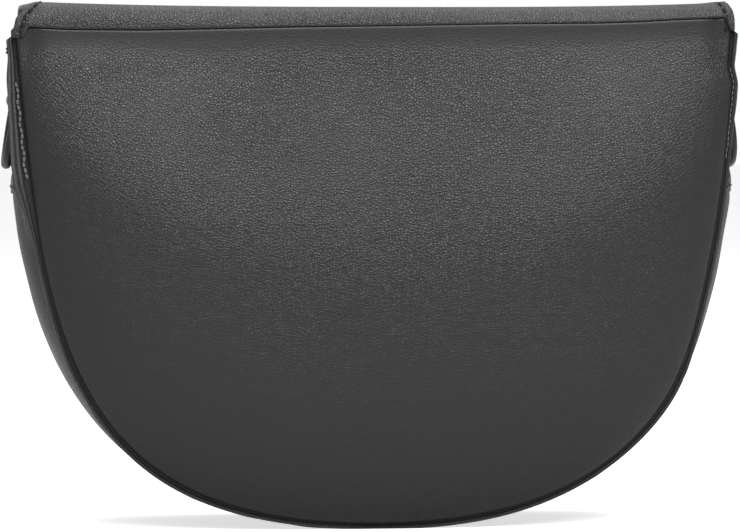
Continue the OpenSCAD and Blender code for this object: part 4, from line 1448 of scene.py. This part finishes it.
pocket_facing = joined("pocket_facing_leather", [pocket_facing, hem], HIDE)
place(pocket_facing, "bag_body", "leather", "front_facing")


def puff(x, z, half, low, high):
    """A share that is 1 over the middle of a pocket and falls to 0 at its sides and base."""
    across = np.clip(1 - (np.abs(x) / half) ** 4, 0, 1)
    up = np.clip((z - low) / 18, 0, 1) * np.clip((high + 6 - z) / 30, 0, 1) ** 0.4
    return np.sqrt(across) * np.sqrt(up * (2 - up))


CLOTH_HALF, CLOTH_LOW, CLOTH_ROUND = 76, 64, 0.12


def zip_pocket_back(x, z):
    """The zip pocket's outer sheet, slightly puffed and crumpled."""
    crumple = 0.12 * np.sin(x * 0.19 + 2 * np.sin(z * 0.05)) * np.sin(z * 0.13 + 1)
    return 24.55 + (1.5 + crumple) * puff(x, z, CLOTH_HALF, CLOTH_LOW, 150) * smooth((150 - z) / 22)


def slip_front(x, z):
    """The open pocket's loose sheet, which hangs away from the front facing."""
    crumple = 0.25 * np.sin(x * 0.16 + 1.5 * np.sin(z * 0.07)) * np.sin(z * 0.11 + 0.7)
    return -23.1 + (4.6 + crumple) * puff(x, z, CLOTH_HALF, CLOTH_LOW, 140)


def cloth_sheet(name, xs, zs, face, thick=0.45, hole=None):
    return plate(name, xs, zs, face, thick, LINING, hole, CLOTH_ROUND)


cloth_x = spans((-CLOTH_HALF, CLOTH_HALF, 62))
slot_x = spans((-CLOTH_HALF, -ZIP_HALF, 2), (-ZIP_HALF, ZIP_HALF, 56), (ZIP_HALF, CLOTH_HALF, 2))
slot_z = spans((CLOTH_LOW, 143, 30), (143, 153, 4), (153, 156.7, 3))
back_sheet = cloth_sheet("back", cloth_x, spans((CLOTH_LOW, 156.7, 36)), zip_pocket_back)
front_sheet = cloth_sheet("front", slot_x, slot_z, flat_at(24.05), 0.4, SLOT)
zip_bag = joined("zip_pocket_cloth", [back_sheet, front_sheet], LINING)
place(zip_bag, "bag_body", "lining", "zip_pocket")

slip_back = cloth_sheet("back", cloth_x, spans((CLOTH_LOW, 147, 32)), flat_at(-23.75))
slip_face = cloth_sheet("face", cloth_x, spans((CLOTH_LOW, 124, 26), (124, 132, 5)), slip_front)
mouth = cloth_sheet("mouth", cloth_x, spans((124, 132, 4)), lambda x, z: slip_front(x, z) - 0.42, 0.42)
open_pocket = joined("open_pocket_cloth", [slip_back, slip_face, mouth], LINING)
place(open_pocket, "bag_body", "lining", "slip_pocket")

TAPE_WIDTH, BEAD_HALF = 9, 0.45
tape_x = spans((-CLOTH_HALF, CLOTH_HALF, 40))
bead_x = spans((-ZIP_HALF, ZIP_HALF, 40))
tapes = [
    plate("tape", tape_x, spans((low, low + TAPE_WIDTH, 8)), flat_at(23.22), 0.42, TAPE, None, 0.1)
    for low in (138.7, 148.3)
]
cords = [
    plate("cord", bead_x, spans((z - BEAD_HALF, z + BEAD_HALF, 3)), flat_at(22.8), 0.8, TAPE)
    for z in (147.25, 148.75)
]
tape_piece = joined("zip_tape_cloth", tapes + cords, TAPE)
place(tape_piece, "bag_body", "zip_tape", "zip_tapes")

TEETH_HALF, TEETH_Y = 73.1, 22.2
chain_line = [(-TEETH_HALF, TEETH_Y, ZIP_Z), (TEETH_HALF, TEETH_Y, ZIP_Z)]
teeth = repeat_along("zip_teeth_metal", [chain_line], ZIP_TEETH, GUNMETAL)
place(teeth, "bag_body", "hardware", "zip_chain")


def slider_outline(x0, x1, half, nose):
    """A shield: wide at the nose, where the tapes part, and narrower at the tail."""
    top = [(x0, half * 0.78), (x0 + 2.2, half * 0.84), (x1 - 3.4, half)]
    top += [(x1 - 1.2, half * 0.93), (x1 - nose, half * 0.35), (x1 - 0.9, 0)]
    return top + [(x, -z) for x, z in reversed(top[:-1])]


def at_zip(outline):
    """Moves an outline from round the zip's middle to the height of the zip."""
    return [(x, z + ZIP_Z) for x, z in outline]


SLIDER_X = (65.05, 73.95)
PULL_X, PULL_Y = 69.5, 17.5


def slider_wall(side):
    """One of the slider's two walls, which close on the tapes' beads."""
    x0, x1 = SLIDER_X[0] + 0.2, SLIDER_X[1] - 1.6
    outline = [(x0, side * 2.95), (x1, side * 3.0), (x1, side * 3.7), (x0, side * 3.3)]
    return prism(at_zip(outline), 20.9, 22.9, 0.15)


def slider_post(x):
    """One of the two posts that carry the slider's bridge."""
    outline = [(x, -0.8), (x + 1.4, -0.8), (x + 1.4, 0.8), (x, 0.8)]
    return prism(at_zip(outline), 17.0, 20.6, 0.3)


def bridge_line():
    x = np.linspace(65.4, 73.6, 14)
    return np.column_stack([x, 17.55 - 0.12 * np.cos((x - PULL_X) / 4.2 * math.pi / 2), np.full(14, ZIP_Z)])


def stack_rings(rings, closed):
    """A bmesh block over rings of points, closed on itself or with a face at each end."""
    mesh = bmesh.new()
    verts = [[mesh.verts.new(p * MM) for p in ring] for ring in rings]
    sides = len(verts[0])
    for a, b in zip(verts, verts[1:] + verts[:1] if closed else verts[1:]):
        for k in range(sides):
            mesh.faces.new((a[k], a[(k + 1) % sides], b[(k + 1) % sides], b[k]))
    if not closed:
        mesh.faces.new(verts[0][::-1])
        mesh.faces.new(verts[-1])
    bmesh.ops.recalc_face_normals(mesh, faces=mesh.faces)
    return mesh


def bridge(line, radius, sides=14):
    """The slider's bridge, a round bar along a line, with rounded ends."""
    share = np.ones(len(line))
    share[[0, -1]] = 0.72
    ahead = unit(np.gradient(line, axis=0))
    return stack_rings(circles(line, ahead, (0, 0, 1), radius * share, sides), closed=False)


def eye(sides=28):
    """The pull's eye, a short tube round the slider's bridge."""
    section = [(-1.8, 1.15), (-1.8, 1.95), (-1.5, 2.2), (1.5, 2.2), (1.8, 1.95), (1.8, 1.15)]
    turn = np.linspace(0, 2 * math.pi, sides, endpoint=False)
    rings = [
        np.column_stack([np.full(sides, PULL_X + x), PULL_Y + r * np.cos(turn), ZIP_Z + r * np.sin(turn)])
        for x, r in section
    ]
    return stack_rings(rings, closed=True)


PULL_END_Z, PULL_END_HALF = 126.0, 3.15


def pull_outline():
    """The pull's leaf, narrow at the eye and round at its end."""
    half = [(1.75, 146.3), (1.75, 144.5), (1.2, 142.6), (1.2, 140.5), (2.0, 136.0), (2.9, 129.5)]
    half += arc((0, PULL_END_Z), PULL_END_HALF, 0, -90, 9).tolist()
    right = [(PULL_X + x, z) for x, z in half]
    return right + [(2 * PULL_X - x, z) for x, z in reversed(right[:-1])]


shell = prism(at_zip(slider_outline(*SLIDER_X, 3.7, 0.4)), 20.05, 21.2, 0.35)
walls = [slider_wall(side) for side in (1, -1)]
posts = [slider_post(x) for x in (65.2, 72.4)]
slider = joined("zip_slider_metal", [shell, *walls, *posts, bridge(bridge_line(), 0.8)], GUNMETAL)
place(slider, "slider", "hardware", "zip_slider")

leaf = prism(pull_outline(), PULL_Y - 0.7, PULL_Y + 0.7, 0.3)
pull = joined("zip_pull_metal", [eye(), leaf], GUNMETAL)
place(pull, "pull", "hardware", "zip_pull")

INSIDE_Y = 21.75
ROUND_ZIP_X, ROUND_ZIP_Z = 77.5, (141.4, 154.6)
MOUTH_HALF, MOUTH_Z = 72, 125.2


def across_row(half, y, z, count=80):
    return [(x, y, z) for x in np.linspace(-half, half, count)]


def mouth_row():
    """The row that hems the open pocket's mouth."""
    x = np.linspace(-MOUTH_HALF, MOUTH_HALF, 60)
    return np.column_stack([x, slip_front(x, MOUTH_Z + 0 * x) + 0.5, np.full(60, MOUTH_Z)])


inside_rows = [across_row(ROUND_ZIP_X, INSIDE_Y, z, 60) for z in ROUND_ZIP_Z]
inside_rows += [[(x, INSIDE_Y, z) for z in np.linspace(*ROUND_ZIP_Z, 8)] for x in (-ROUND_ZIP_X, ROUND_ZIP_X)]
inside_rows += [across_row(113, INSIDE_Y, z) for z in (168.2, 130.2)]
inside_rows += [across_row(113, -INSIDE_Y, z) for z in (163.4, 142.2)]
inside_thread = sew("inside_stitches", inside_rows + [mouth_row()], THREAD, 3.2, 2.5, 0.22)
place(inside_thread, "bag_body", "lining")


# What stays hidden keeps its solid and takes a finish

for node, finish in (("base_board", BOARD), ("panel_magnet", MAGNET), ("flap_magnet", MAGNET)):
    solid = bpy.data.objects[node]
    solid.data.materials.clear()
    solid.data.materials.append(finish)


# Camera, floor and light

YAW, RISE, DISTANCE = math.radians(6.7), math.radians(2.5), 1.5
AIM = Vector((0.0033, 0.026, 0.0904))
SENSOR, SEEN_WIDTH = 36.0, 0.2535
FLOOR_HALF = 6
SURROUNDINGS = (0.20, 0.20, 0.205, 1)
BAG_MIDDLE = Vector((0, 0, 0.1))


def add_camera():
    """The camera of the photograph, from a little above and to the side of the back's middle."""
    camera = bpy.data.cameras.new("camera")
    camera_object = bpy.data.objects.new("camera", camera)
    bpy.context.scene.collection.objects.link(camera_object)
    bpy.context.scene.camera = camera_object
    direction = Vector((math.sin(YAW) * math.cos(RISE), math.cos(YAW) * math.cos(RISE), math.sin(RISE)))
    camera_object.location = AIM + DISTANCE * direction
    camera_object.rotation_euler = (-direction).to_track_quat("-Z", "Y").to_euler()
    camera.sensor_width = SENSOR
    camera.lens = SENSOR * DISTANCE / SEEN_WIDTH
    camera.clip_end = 20.0


def add_surroundings():
    """A plain grey world that lights the bag and looks white itself."""
    world = bpy.data.worlds.new("studio")
    bpy.context.scene.world = world
    world.use_nodes = True
    world.node_tree.nodes.clear()
    sh = Shader(world.node_tree)
    path = sh.node("ShaderNodeLightPath")
    seen = sh.math("ADD", path.outputs["Is Camera Ray"], path.outputs["Is Glossy Ray"])
    seen = sh.math("ADD", seen, path.outputs["Is Transmission Ray"], clamp=True)
    tone = sh.mix(seen, SURROUNDINGS, (1, 1, 1, 1))
    back = sh.node("ShaderNodeBackground", {"Color": tone, "Strength": 1.0})
    sh.node("ShaderNodeOutputWorld", {"Surface": back.outputs[0]})


def add_softbox(name, at, size, power):
    """A softbox aimed at the middle of the bag."""
    lamp = bpy.data.lights.new(name, "AREA")
    lamp.shape, lamp.size, lamp.size_y, lamp.energy = "RECTANGLE", size[0], size[1], power
    lamp_object = bpy.data.objects.new(name, lamp)
    bpy.context.scene.collection.objects.link(lamp_object)
    lamp_object.location = at
    lamp_object.rotation_euler = (BAG_MIDDLE - Vector(at)).to_track_quat("-Z", "Y").to_euler()


def add_floor():
    """White paper under the bag, which keeps its shadow."""
    floor_mesh = bpy.data.meshes.new("floor")
    corners = [(x * FLOOR_HALF, y * FLOOR_HALF, 0) for x, y in ((-1, -1), (1, -1), (1, 1), (-1, 1))]
    floor_mesh.from_pydata(corners, [], [(0, 1, 2, 3)])
    floor = bpy.data.objects.new("floor", floor_mesh)
    bpy.context.scene.collection.objects.link(floor)
    paper, sh, surface, at = new_material("studio_floor")
    speckle = sh.node("ShaderNodeTexNoise", {"Vector": at, "Scale": 40.0})
    values = {
        "Base Color": sh.mix(speckle.outputs["Fac"], grey(0.93), grey(0.95)),
        "Roughness": 0.9,
        "Specular IOR Level": 0.1,
        "Emission Color": (1, 1, 1, 1),
        "Emission Strength": sh.math("MULTIPLY", sh.node("ShaderNodeLightPath").outputs["Is Camera Ray"], 0.68),
    }
    for name, value in values.items():
        sh.feed(surface.inputs[name], value)
    floor_mesh.materials.append(paper)


bpy.context.scene.view_settings.view_transform = "Standard"
add_camera()
add_surroundings()
add_softbox("key_softbox", (-0.16, 0.95, 0.94), (0.85, 0.75), 16.9)
add_softbox("top_softbox", (-0.1, -0.1, 1.4), (1.2, 1.0), 16.0)
add_floor()
